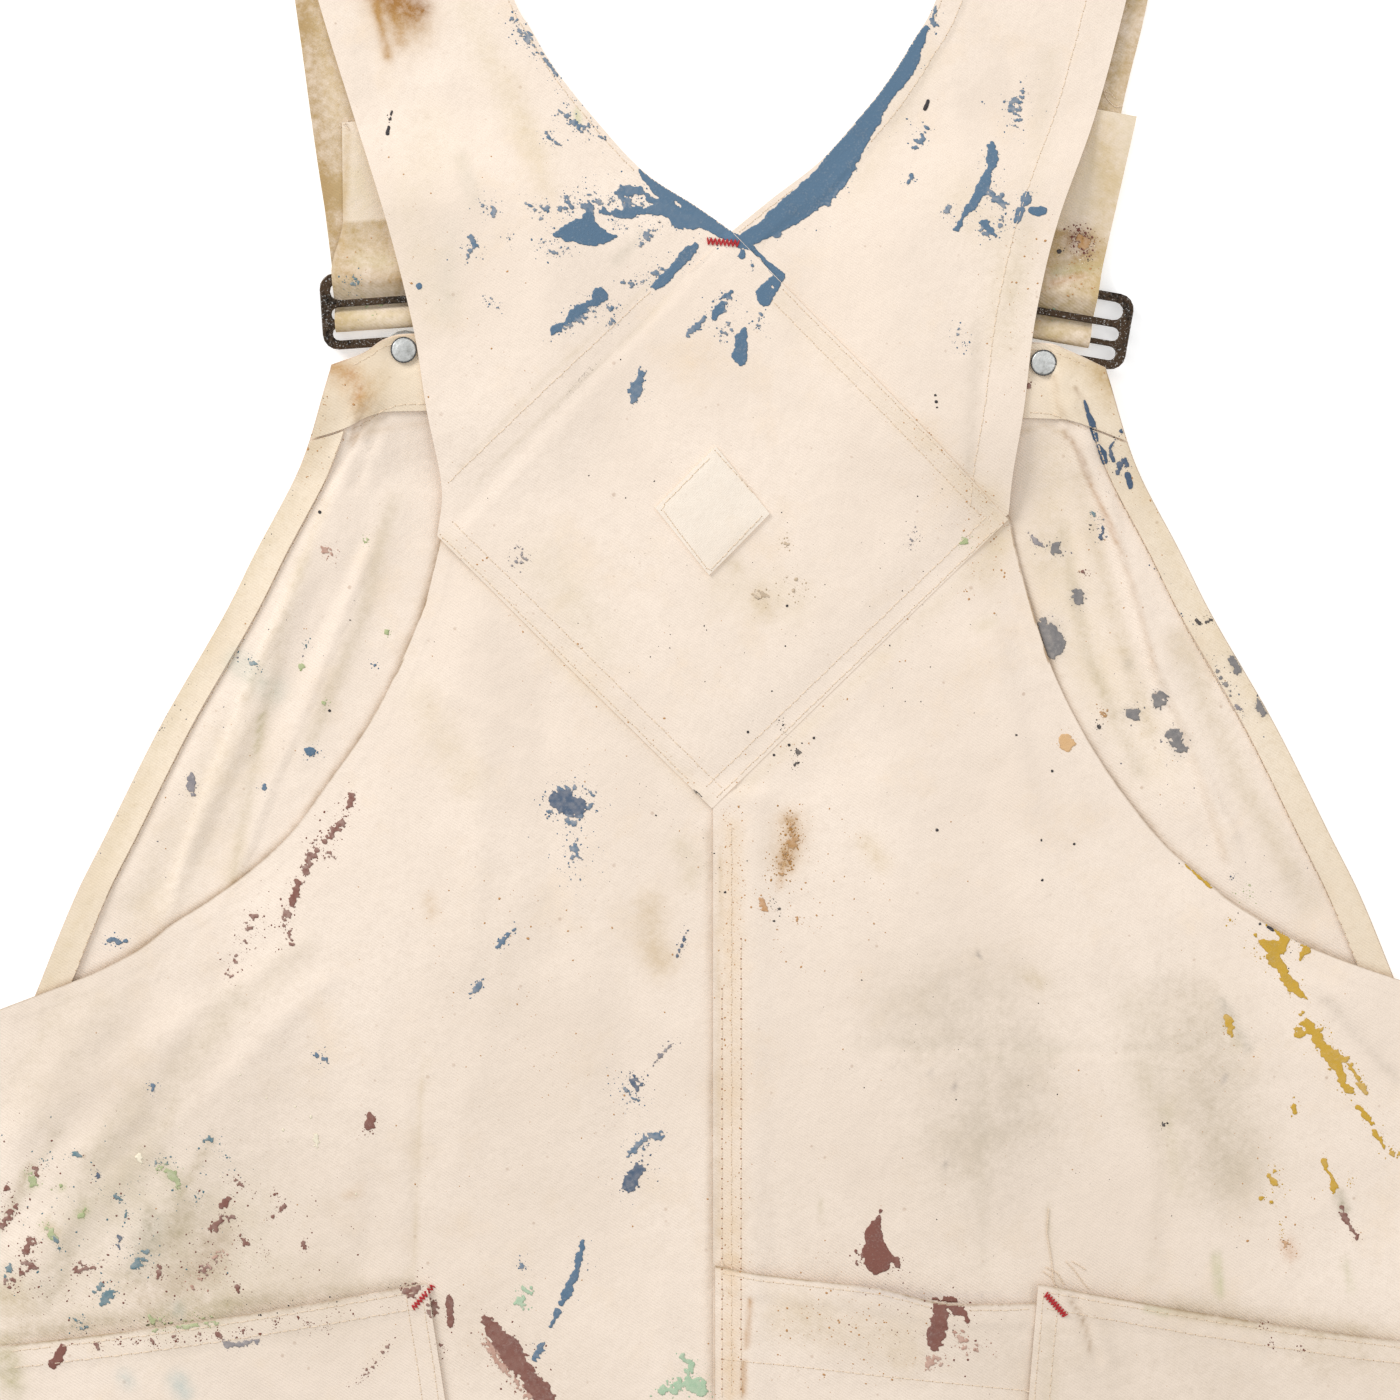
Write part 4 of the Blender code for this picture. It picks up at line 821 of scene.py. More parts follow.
stainsOnEnds = [
    ((184, 154, 108), 0.9, 15, (300, 0), (316, 120), (328, 250)),
    ((214, 188, 144), 0.6, 12, (322, 0), (336, 110)),
    ((206, 176, 128), 0.6, 4, (347, 130), (344, 200), (342, 250)),
    ((188, 154, 106), 0.65, 8, (346, 274), (376, 278), (404, 280)),
    ((200, 186, 142), 0.5, 9, (360, 262), (392, 262)),
    ((222, 204, 164), 0.6, 20, (360, 310), (400, 320)),
    ((146, 100, 58), 0.9, 15, (1080, 238), (1085, 244)),
    ((120, 78, 44), 0.9, 9, (1081, 240), (1085, 243)),
    ((168, 168, 124), 0.7, 4, (1056, 273), (1106, 268)),
    ((196, 178, 130), 0.55, 6, (1058, 270), (1110, 264)),
    ((180, 128, 70), 0.7, 4, (1052, 284), (1070, 279), (1084, 276)),
    ((210, 184, 138), 0.6, 20, (1100, 130), (1112, 180), (1096, 290)),
    ((216, 196, 154), 0.5, 16, (1070, 320), (1050, 330)),
    ((200, 168, 120), 0.6, 10, (1146, 10), (1128, 90)),
]


# Soil, soft stains and painted shade where the cloth lies, over the colour of the ground
def stainAndShadeAt(stains, x, y, ground=(drillCloth["light"], 0.0)):
    across = x / photo["pixel"] + photo["waistAcross"]
    down = photo["waistDown"] - y / photo["pixel"]
    total = np.full(len(x), ground[1] + 1e-6)
    colour = np.tile(ground[0][:3], (len(x), 1))
    for shade, strength, width, *places in stains:
        amount = strength * np.exp(-((awayFrom(places, across, down) / width) ** 2))
        under = total * (1.0 - amount)
        total = under + amount
        share = (amount / total)[:, None]
        colour = mix(colour, np.array(tint(*shade)[:3]), share)
    return np.column_stack([colour, total])


def backMarks(x, y, j):
    return stainAndShadeAt(stainsAndShadeOnBack, x, y)


def bibMarks(x, y, j):
    return stainAndShadeAt(stainsAndShadeOnBib, x, y)


def noMarks(x, y, j):
    return stainAndShadeAt([], x, y)


# The larger folds, as in the solids, then creases and pleats: two places, a
# width and a height, in millimetres
backFolds = [
    (-225, -8, -262, -62, 11, 1.7),
    (-196, -16, -246, -92, 13, 1.9),
    (-160, -6, -205, -82, 15, 1.5),
    (222, 2, 262, -48, 11, 1.7),
    (186, -8, 214, -72, 14, 1.4),
    (-88, 132, -84, 24, 16, 1.3),
    (94, 120, 132, 20, 16, 1.4),
    (-46, 84, -52, -40, 17, 0.9),
    (60, 70, 92, -64, 18, 1.0),
    (-30, -330, -232, -440, 20, 2.2),
    (36, -334, 226, -420, 20, 2.0),
    (-60, -420, -140, -640, 20, 1.6),
    (120, -470, 196, -700, 22, 1.8),
    (-236, -560, -120, -650, 18, 2.1),
    (246, -640, 110, -716, 18, 2.0),
    (-250, -800, -150, -1010, 20, 1.9),
    (230, -830, 170, -1030, 20, 1.7),
    (-104, -760, -186, -900, 18, 1.6),
    (100, -800, 200, -880, 17, 1.5),
]
backCreases = [
    (-150, 20, -252, -48, 5, 0.5),
    (-176, 12, -214, -60, 4, -0.4),
    (-140, 8, -236, -84, 4, 0.5),
    (-206, -40, -250, -70, 4, 0.4),
    (-110, 20, -128, -96, 5, -0.35),
    (-107, -16, -109, -98, 2.2, -0.3),
    (-96, 110, -66, 96, 3, 0.35),
    (-84, 96, -90, 10, 5, 0.4),
    (-64, 110, -58, 20, 5, -0.35),
    (-70, 40, -96, -60, 6, 0.35),
    (-30, 40, -38, -90, 6, -0.3),
    (20, 40, 24, -80, 6, 0.3),
    (50, 60, 70, -20, 6, -0.4),
    (100, 130, 112, 70, 5, 0.5),
    (118, 96, 160, 10, 6, 0.45),
    (96, 80, 120, -30, 6, -0.35),
    (60, -17, 170, -19, 2.2, -0.3),
    (96, 10, 98, -96, 2.4, -0.3),
    (161, 10, 162, -100, 2.4, -0.35),
    (170, 40, 190, -10, 5, 0.4),
    (210, -30, 244, -80, 5, -0.4),
    (196, -10, 236, -60, 4, 0.4),
    (184, -6, 192, -18, 3.0, -0.9),
    (219, -1, 245, -28, 4.0, -0.8),
    (226, 2, 250, -20, 4.0, 0.6),
    (128, -108, 137, -129, 2.0, -0.9),
    (132, -106, 141, -128, 2.4, 0.5),
    (-20, -104, -16, -144, 5, 0.3),
    (30, -108, 90, -144, 6, 0.3),
    (-180, -128, -150, -144, 5, 0.4),
]
yokeCreases = [
    (-80, 250, -60, 190, 6, 0.4),
    (-52, 150, 10, 110, 6, 0.35),
    (20, 240, 60, 190, 5, 0.35),
    (-20, 230, 30, 210, 6, -0.3),
    (-100, 330, -84, 270, 6, 0.5),
    (84, 330, 100, 240, 6, 0.5),
    (60, 120, 30, 92, 5, 0.3),
    (-70, 130, -30, 96, 5, 0.35),
    (104, 340, 116, 260, 4, -0.4),
    (-126, 340, -112, 280, 5, -0.4),
]
bibFolds = [
    (-134, 190, -214, 40, 8, 1.3),
    (-124, 192, -188, 60, 8, 1.1),
    (-116, 180, -150, 92, 7, 0.9),
    (134, 196, 206, 50, 8, 1.3),
    (122, 190, 172, 70, 8, 1.1),
    (112, 170, 132, 96, 7, 0.8),
    (-150, 150, -172, 108, 3, 0.6),
    (-128, 166, -168, 84, 3, -0.5),
    (-160, 120, -200, 30, 3.5, 0.6),
    (-142, 150, -188, 50, 3, -0.5),
    (150, 150, 186, 60, 3.2, 0.6),
    (166, 130, 214, 30, 3, -0.5),
    (126, 214, 133, 200, 2.4, 0.6),
    (-128, 216, -137, 196, 2.4, 0.6),
    (-120, 212, -131, 184, 2.4, -0.6),
]
# A pleat: the side to the left of its line is high and falls away slowly
bibPleats = [
    (1.3, 11.0, 1.3, [(120.6, 227), (124, 206), (134, 186), (142.6, 167), (150.8, 142), (156.6, 120)]),
    (1.2, 10.0, 1.3, [(156.6, 120), (164.9, 103), (175.7, 74), (182.5, 52)]),
    (0.8, 7.0, 1.1, [(186, 60), (160, 110), (146, 156), (141, 186)]),
    (0.9, 8.0, 1.2, [(-132, 196), (-148, 160), (-166, 120), (-186, 70), (-196, 40)]),
    (0.7, 6.0, 1.0, [(-176, 36), (-160, 78), (-142, 120), (-126, 160)]),
    (0.8, 3.0, 0.9, [(-133, 218), (-128, 205), (-126, 196)]),
    (0.6, 2.4, 0.8, [(-128, 222), (-122, 208), (-121, 199)]),
    (0.5, 3.0, 0.9, [(-134, 202), (-129, 201)]),
    (0.7, 3.0, 0.9, [(122, 222), (128, 212), (133, 199)]),
]

outseam = dict(y=[-1060, -800, -500, -300, -150, -60, 0], x=[306, 303, 299, 294, 286, 277, 270])
inseam = dict(y=[-1060, -800, -600, -420, -300], x=[78, 66, 52, 30, 4])
armholes = {
    "left": dict(
        y=[-8, 1, 10, 18, 27, 36, 47, 60, 79, 99, 120, 142, 167, 176],
        x=[271, 247, 224, 209, 197, 183, 168, 154, 140, 126, 115, 106, 100, 99],
    ),
    "right": dict(
        y=[0, 7, 15, 21, 29, 36, 43, 55, 73, 89, 107, 123, 145, 164, 176],
        x=[270, 246, 223, 209, 195, 184, 176, 162, 147, 136, 126, 119, 112, 107, 105],
    ),
}
bibSide = dict(y=[0, 37, 59, 99, 139, 161, 194, 228], x=[247, 232, 221, 201, 178, 167, 150, 139])
bibTop = dict(
    x=[-139, -127, -120.6, -113, -60, 60, 118, 125, 139],
    y=[228.5, 233, 237.4, 239.6, 239.5, 237.5, 236.4, 234, 227.5],
)
fastenings = {
    "left": dict(x=-112.8, y=233.6, turn=4.0, strap=(-24.2, 15.3)),
    "right": dict(x=116.8, y=229.0, turn=-10.0, strap=(15.3, -24.2)),
}
crotchY, yokeTipY = -300.0, 69.0


def ripple(x, y):
    waves = np.sin(x / 17.0 + 1.7 * np.sin(y / 29.0)) * np.sin(y / 23.0 + 1.3 * np.sin(x / 31.0))
    return 0.16 * waves + 0.10 * np.sin((x + 0.6 * y) / 7.0 + 2.0 * np.sin(y / 19.0))


def overBuckles(x, y, flat, fall, topY):
    raised = np.zeros(np.shape(x))
    for hold in fastenings.values():
        awayX = np.maximum(0.0, np.abs(x - hold["x"]) - 29.0)
        awayY = np.maximum(np.maximum(hold["y"] - 1.0 - y, 0.0), y - topY)
        raised = np.maximum(raised, 1.0 - ease(np.hypot(awayX, awayY), flat, fall))
    return raised


def pleatHeight(x, y):
    height = np.zeros(np.shape(x))
    for rise, slow, fast, line in bibPleats:
        side = np.zeros(np.shape(x))
        best = np.full(np.shape(x), 1e9)
        for (x1, y1), (x2, y2) in zip(line, line[1:]):
            away = awayFrom([(x1, y1), (x2, y2)], x, y)
            cross = (x2 - x1) * (y - y1) - (y2 - y1) * (x - x1)
            side = np.where(away < best, np.sign(cross), side)
            best = np.minimum(best, away)
        fall = np.where(side > 0, np.exp(-best / slow), np.exp(-((best / fast) ** 2)))
        height += rise * fall
    return height


def bibBottomZ(x, y):
    lifted = layers["bibLift"] * overBuckles(x, y, 12.0, 48.0, 240.0)
    return lifted + bumps(bibFolds, x, y) + pleatHeight(x, y) + 0.5 + 0.6 * ripple(x * 1.7, y * 1.3)


def backBottomZ(x, y):
    z = mix(layers["legBack"], layers["bodyBack"], ease(y, -90.0, -15.0))
    fromEdge = curveAt(outseam["y"], outseam["x"], y) - np.abs(x)
    fromFork = np.abs(x) - curveAt(inseam["y"], inseam["x"], y)
    fromEdge = np.where(y < crotchY, np.minimum(fromEdge, fromFork), fromEdge)
    fromEdge = np.where(y > -10.0, 100.0, fromEdge)
    soft = bumps(backFolds, x, y) + bumps(backCreases + yokeCreases, x, y) + ripple(x, y)
    return z + soft * ease(fromEdge, 2.0, 30.0)


# The square yoke where the straps cross: its four edges, then how its layers lie
yoke = {
    "lowLeft": ((-2.2, 69), (-101, 167)),
    "lowRight": ((-2.2, 69), (104.5, 173)),
    "topLeft": ((-96, 167), (4.7, 276.5)),
    "topRight": ((4.7, 276.5), (104.6, 175)),
    "ply": 0.8,
    "droop": (0.6, 0.0, 24.0),
    "rise": (1.5, 17.0),
    "sink": (1.4, 4.0, 20.0),
    "overSeam": dict(middle=5.0, half=(9.0, 22.0), above=(4.0, 12.0)),
}
strapLevels = {"low": 2.5, "atFold": 2.0, "leavesYoke": (200.0, 300.0), "nearsFold": (400.0, 455.0)}


def strapBottomZ(x, y):
    seam = yoke["overSeam"]
    overSeam = layers["ply"] * (1.0 - ease(y - yokeTipY, *seam["above"]))
    overSeam = overSeam * (1.0 - ease(np.abs(x - seam["middle"]), *seam["half"]))
    yokeZ = backBottomZ(x, y) + yoke["ply"] + overSeam
    low = strapLevels["low"] + bumps(yokeCreases, x, y) + ripple(x, y)
    z = mix(yokeZ, low, ease(y, *strapLevels["leavesYoke"]))
    z = mix(z, strapLevels["atFold"], ease(y, *strapLevels["nearsFold"]))
    raised = layers["bibLift"] + 2 * layers["ply"] + 0.3 + 0.6 * ripple(x, y)
    return mix(z, raised, overBuckles(x, y, 19.0, 60.0, 264.0))


# The left strap rides over the right one, and comes down along its lower edges
def crossingLift(x, y):
    lowLeft = ease(-leftOf(yoke["lowLeft"], x, y), 2.5, 6.5)
    fromLowRight = leftOf(yoke["lowRight"], x, y)
    overlap = 1.0 - ease(leftOf(yoke["topLeft"], x, y), -2.0, 1.5)
    drop, *width = yoke["droop"]
    drop = drop * (1.0 - ease(fromLowRight, *width)) * overlap
    return yoke["ply"] * overlap * lowLeft * ease(fromLowRight, *yoke["rise"]) - drop


def crossingSink(x, y):
    covered = ease(-leftOf(yoke["topRight"], x, y), -1.0, 3.0)
    sink, *width = yoke["sink"]
    return sink * covered * (1.0 - ease(leftOf(yoke["lowRight"], x, y), *width))


cloths = []


def putInScene(name, data):
    made = bpy.data.objects.new(name, data)
    bpy.context.scene.collection.objects.link(made)
    return made


def thicken(piece, thickness):
    wall = piece.modifiers.new("wall", "SOLIDIFY")
    wall.thickness = thickness * mm
    wall.offset = 0.0
    bpy.context.view_layer.update()
    shell = piece.evaluated_get(bpy.context.evaluated_depsgraph_get())
    solid = bpy.data.meshes.new_from_object(shell)
    piece.modifiers.clear()
    piece.data = solid
    solid.name = piece.name
    solid.shade_smooth()
    return solid


# A piece of cloth: a grid laid out by placing(i, j), given a thin wall, and
# with the stains and painted shade of the places where it lies
def layCloth(name, across, along, placing, marks, finish, replaced, flat):
    grid = bmesh.new()
    bmesh.ops.create_grid(grid, x_segments=across, y_segments=along, size=1.0)
    mesh = bpy.data.meshes.new(name)
    grid.to_mesh(mesh)
    grid.free()
    corners = np.empty(len(mesh.vertices) * 3)
    mesh.vertices.foreach_get("co", corners)
    i = np.rint((corners[0::3] + 1) / 2 * across).astype(int)
    j = np.rint((corners[1::3] + 1) / 2 * along).astype(int)
    x, y, z = placing(i, j)
    world = np.column_stack([x, y + waistWorldY, z]) * mm
    mesh.vertices.foreach_set("co", world.ravel())
    stain = mesh.attributes.new("stain", "FLOAT_COLOR", "POINT")
    stain.data.foreach_set("color", marks(x, y, j).ravel())
    mesh.update()
    area = sum(face.area for face in mesh.polygons)
    cloth = putInScene(name, mesh)
    solid = thicken(cloth, layers["shell"])
    solid.set_sharp_from_angle(angle=math.radians(55))
    solid.materials.clear()
    solid.materials.append(finish)
    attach(cloth, "root")
    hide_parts(replaced)
    area = min(area, flat[0] * flat[1])
    cloths.append(cloth)
    print("laid", name, len(solid.polygons), "faces,", round(area, 4), "square metres")
    return cloth


def stepsThrough(*stretches):
    rows = [np.arange(start, stop, step) for start, stop, step in stretches]
    return np.concatenate([*rows, [stretches[-1][1]]])


drill = makeClothFinish("wornDrill", drillCloth)
soiled = makeClothFinish("soiledDrill", soiledCloth)


backCut = {
    "columns": 130,
    "flat": (0.325, 1.236),
    "roll": 4.5,
    "fork": 14.0,
    "fellLeft": -1.8,
    "fellRight": 11.5,
    "fellFall": 11.0,
    "underlap": 8.0,
    "hem": 6.0,
    "hemHeight": 0.12,
}


def armholeX(side, y):
    return curveAt(armholes[side]["y"], armholes[side]["x"], y)


def fellRaise(x, y):
    left, right = backCut["fellLeft"], backCut["fellRight"]
    rise = ease(x, left - 1.0, left) * (1.0 - ease(x, right, right + backCut["fellFall"]))
    felled = ease(y, crotchY - 30.0, crotchY - 2.0) * (1.0 - ease(y, yokeTipY + 4.0, yokeTipY + 9.0))
    return layers["ply"] * rise * felled


# Cloth turned under along an edge stands a little higher
def hemRise(away, width, rise):
    return rise * (1.0 - ease(away, width - 0.9, width + 0.9))


# The armhole edges hang down to the bib; a dark line along each edge is wear and painted shade, and a
# painted shade lies beside them
armholeEdge = {
    "droop": 1.1,
    "width": 24.0,
    "starts": (24.0, 48.0),
    "wearAndPaintedLight": tint(182, 156, 128),
    "shaded": (196, 172, 144),
}
# A painted shade on the bib beside each armhole edge
for side, sign in (("left", -1), ("right", 1)):
    acrossEdge = [photo["waistAcross"] + sign * x / photo["pixel"] for x in armholes[side]["x"]]
    downEdge = [photo["waistDown"] - y / photo["pixel"] for y in armholes[side]["y"]]
    stainsAndShadeOnBib.append((armholeEdge["shaded"], 0.6, 4.4, *zip(acrossEdge, downEdge)))


def layBack(side):
    left = side == "left"
    topY = 166.0 if left else 174.0
    rows = stepsThrough((hemY, -160, 15.0), (-160, -24, 2.8), (-24, topY, 2.0))
    armFrom = armholes[side]["y"][0]
    armLine = list(zip([x * (-1 if left else 1) for x in armholes[side]["x"]], armholes[side]["y"]))

    def placing(i, j):
        y = rows[j]
        outer = np.where(y < armFrom, curveAt(outseam["y"], outseam["x"], y), armholeX(side, y))
        fork = ease(y, crotchY, crotchY + backCut["fork"])
        pastTip = np.maximum(0.0, y - yokeTipY + (6.0 if left else -3.0))
        seam = curveAt(inseam["y"], inseam["x"], y)
        if left:
            inner = mix(seam, -backCut["underlap"], fork) + pastTip * 1.02
        else:
            inner = mix(seam, backCut["fellLeft"], fork) + pastTip
        share = (backCut["columns"] - i if left else i) / backCut["columns"]
        x = mix(inner, outer, share) * (-1 if left else 1)
        z = backBottomZ(x, y) + layers["cloth"] / 2
        away = awayFrom(armLine, x, y)
        z += hemRise(away, backCut["hem"], backCut["hemHeight"]) * (y > armFrom)
        room = z - bibBottomZ(x, y) - layers["cloth"] / 2 - layers["shell"] - 0.2
        hanging = (1.0 - ease(away, 0.0, armholeEdge["width"])) * ease(y, *armholeEdge["starts"])
        z -= np.clip(room, 0.0, armholeEdge["droop"]) * hanging
        if not left:
            z += fellRaise(x, y)
        fromFork = np.where(y < crotchY, np.abs(x) - inner, 99.0)
        roll = np.clip(np.minimum(outer - np.abs(x), fromFork) / backCut["roll"], 0.0, 1.0)
        rolled = np.sqrt(1.0 - (1.0 - roll) ** 2)
        z = np.where(y < -14.0, mix(layers["cloth"] / 2, z, rolled), z)
        return x, y, z

    def marks(x, y, j):
        # The line along the armhole edge: wear and painted shade
        wearAndPaintedLight = np.array([*armholeEdge["wearAndPaintedLight"][:3], 0.9])
        onEdge = (awayFrom(armLine, x, y) < 0.6) & (y > armFrom)
        return np.where(onEdge[:, None], wearAndPaintedLight, backMarks(x, y, j))

    layCloth(f"back_panel_{side}", backCut["columns"], len(rows) - 1, placing, marks, drill,
             f"back_{side}", backCut["flat"])


frontCut = {"columns": 40, "flat": (0.302, 1.06), "fork": 18.0, "atWaist": (-50.0, -5.0)}


def layFront(side):
    sign = -1 if side == "left" else 1
    rows = stepsThrough((hemY + 1, -300, 20.0), (-300, -1, 10.0))
    cells = frontCut["columns"]

    def placing(i, j):
        y = rows[j]
        fork = ease(y, crotchY, crotchY + frontCut["fork"])
        atWaist = ease(y, *frontCut["atWaist"])
        outer = mix(curveAt(outseam["y"], outseam["x"], y) - backCut["roll"], bibSide["x"][0], atWaist)
        inner = mix(curveAt(inseam["y"], inseam["x"], y) + backCut["roll"], 0.3, fork)
        share = i / cells if sign > 0 else 1 - i / cells
        return sign * mix(inner, outer, share), y, np.full(len(i), layers["cloth"] / 2)

    layCloth(f"front_panel_{side}", cells, len(rows) - 1, placing, noMarks, drill,
             f"front_{side}", frontCut["flat"])


bibCut = {
    "height": 240.0,
    "facing": 12.5,
    "topFacing": 28.0,
    "inset": 0.6,
    "columns": 156,
    "rows": 126,
    "edgeRows": 118,
    "hemRows": 16,
    "cell": 1.65,
    "flat": (0.494, 0.24),
    "edgeFlat": (0.0125, 0.235),
    "hemFlat": (0.3, 0.029),
    "dent": (0.7, 5.4, 9.0),
}
bibInsets = stepsThrough((0.0, 112.0, bibCut["cell"]))


def bibPoint(column, along, inset=0.0, lift=0.0):
    half = bibCut["columns"] // 2
    fromMiddle = column - half
    sign = np.where(fromMiddle < 0, -1.0, 1.0)
    step = half - np.abs(fromMiddle)
    last = len(bibInsets) - 1

    def sideX(reach):
        near = reach - np.maximum(inset, bibInsets[np.minimum(step, last)])
        rest = (half - step) / max(1, half - last)
        return np.where(step <= last, near, (reach - bibInsets[-1]) * rest)

    topReach = curveAt(bibSide["y"], bibSide["x"], bibCut["height"])
    y = along * curveAt(bibTop["x"], bibTop["y"], sign * sideX(topReach))
    x = sign * sideX(curveAt(bibSide["y"], bibSide["x"], y))
    return x, y, bibBottomZ(x, y) + layers["cloth"] / 2 + lift


def rivetDent(x, y):
    deep, *width = bibCut["dent"]
    dent = np.zeros(np.shape(x))
    for hold in fastenings.values():
        dent += deep * (1.0 - ease(np.hypot(x - hold["x"], y - hold["y"]), *width))
    return dent


def layBib():
    def placing(i, j):
        return bibPoint(i, j / bibCut["rows"])

    layCloth("bib_panel", bibCut["columns"], bibCut["rows"], placing, bibMarks, drill,
             "bib", bibCut["flat"])

    cells = int(bibCut["facing"] / bibCut["cell"])
    rows = bibCut["edgeRows"]
    lowest = 1 - bibCut["topFacing"] / bibCut["height"]
    for side in ("left", "right"):
        first = 0 if side == "left" else bibCut["columns"] - cells

        def strip(i, j, first=first):
            up = 0.004 + (lowest - 0.008) * j / rows
            return bibPoint(first + i, up, bibCut["inset"], layers["ply"])

        layCloth(f"bib_edge_{side}", cells, rows, strip, bibMarks, soiled,
                 f"bib_facing_{side}", bibCut["edgeFlat"])

    def turnedTop(i, j):
        up = mix(lowest, 0.997, j / bibCut["hemRows"])
        x, y, z = bibPoint(i, up, bibCut["inset"], layers["ply"])
        return x, y, z - rivetDent(x, y)

    layCloth("bib_top_hem", bibCut["columns"], bibCut["hemRows"], turnedTop, bibMarks, soiled,
             "bib_top_facing", bibCut["hemFlat"])


# Each strap as sections: a place on its armhole side and one on its neck side.
# The first three are straight, in the yoke, where the lower strap is cut shorter
strapBands = {
    "left": dict(
        armX=[-2.2, -52, -101, -99.4, -104.6, -109.4, -119, -132, -144, -159, -172],
        armY=[69, 118, 167, 185, 212.5, 242, 280, 321, 360, 415, 470],
        neckX=[104.5, 56, 4.7, -8, -27, -45, -58.5, -67, -75, -93, -112],
        neckY=[173, 224, 277, 286, 298.5, 318, 335, 349, 364, 415, 470],
    ),
    "right": dict(
        armX=[-0.5, 47, 104.6, 106, 109.6, 114, 122, 135.7, 147, 160, 172],
        armY=[82.5, 127, 175, 190, 212, 246, 280, 318, 360, 415, 470],
        neckX=[-91, -48, 4.7, 20, 36.7, 51, 60.5, 70, 79.5, 95, 112],
        neckY=[172, 226, 276.5, 289, 302, 318, 330, 345, 363, 415, 470],
    ),
}
strapFronts = {
    "left": dict(y=[270, 308, 360, 415, 470], x=[-139.5, -145.4, -152.6, -161, -172],
                 width=[40, 43, 48, 54, 60]),
    "right": dict(y=[275, 322, 360, 415, 470], x=[137.5, 146, 155, 164, 172],
                  width=[40, 44, 48, 54, 60]),
}
buckleWeave = dict(
    along=[14, -5.0, -6.3, -6.95, -7.1, -6.9, -6.0, -4.8, -3.2, -1.2, 0.3, 1.5,
           3.9, 5.2, 7.6, 9.9, 12, 14.3, 18, 23, 28, 40, 54, 68],
    z=[0.5, 0.5, 0.95, 2.0, 3.3, 4.5, 5.25, 5.5, 5.35, 3.9, 2.3, 1.85,
       1.85, 2.25, 3.75, 5.2, 5.45, 5.2, 3.95, 2.4, 1.9, 1.9, 2.0, 2.1],
)


def buckleAxes(side):
    hold = fastenings[side]
    turn = math.radians(hold["turn"])
    across = np.array([math.cos(turn), math.sin(turn)])
    along = np.array([-math.sin(turn), math.cos(turn)])
    return np.array([hold["x"], hold["y"]]) + along * 16.0, across, along


def bandCurve(values, at):
    order = np.arange(len(values))
    straight = np.interp(at, order, values)
    return np.where(at <= 2.0, straight, curveAt(order[2:], values[2:], at))


def stepsBetween(count, fineSteps, steps, fineRows):
    rows = [np.linspace(k, k + 1, fineSteps if k in fineRows else steps, endpoint=False)
            for k in range(count - 1)]
    return np.concatenate([*rows, [count - 1]])


def strapSections(side):
    left = side == "left"
    band, front = strapBands[side], strapFronts[side]
    spread = stepsBetween(len(band["armX"]), 30, 16, (0, 1))
    arm = np.column_stack([bandCurve(band["armX"], spread), bandCurve(band["armY"], spread)])
    neck = np.column_stack([bandCurve(band["neckX"], spread), bandCurve(band["neckY"], spread)])
    backCount = len(spread)
    rows = [(a, n, np.nan) for a, n in zip(arm, neck)]
    topZ, lowZ = 2.5, 0.5
    radius = (topZ - lowZ) / 2
    for angle in (60, 30, 0, -30, -60):
        bend = math.radians(angle)
        out = np.array([0.0, radius * math.cos(bend)])
        rows.append((arm[-1] + out, neck[-1] + out, lowZ + radius * (1 + math.sin(bend))))
    inwards = 1 if left else -1
    for y in np.arange(466, 284, -1.9):
        x = curveAt(front["y"], front["x"], y)
        width = curveAt(front["y"], front["width"], y)
        outside, inside = np.array([x, y]), np.array([x + inwards * width, y])
        rows.append((outside, inside, lowZ + 0.25 * np.sin(y / 9.0) ** 2))
    middle, across, along = buckleAxes(side)
    outer, inner = fastenings[side]["strap"]
    order = np.arange(len(buckleWeave["along"]))
    fine = stepsBetween(len(order), 9, 3, (0, 20, 21, 22))
    places = curveAt(order, buckleWeave["along"], fine)
    for a, z in zip(places, curveAt(order, buckleWeave["z"], fine)):
        a += 0.0 if left else 10.0 * float(ease(a, 24.0, 68.0))
        at = middle + along * a + across * max(0.0, a - 20.0) * (0.06 if left else 0.05)
        narrow = across * (4.4 * float(ease(a, 13.0, 34.0)) if left else 0.0)
        rows.append((at + across * outer + narrow, at + across * inner, z))
    return rows, backCount


strapCut = {
    "columns": 64,
    "flat": (0.15, 0.81),
    "hem": 10.0,
    "armHem": 14.0,
    "hemHeight": {"left": 0.15, "right": 0.45, "arm": 0.12},
    "yokeRows": 56,
    "endRows": 24,
}
frontGround = {"main": (tint(196, 171, 128), 1.0), "freeEnd": (tint(233, 216, 188), 0.85)}


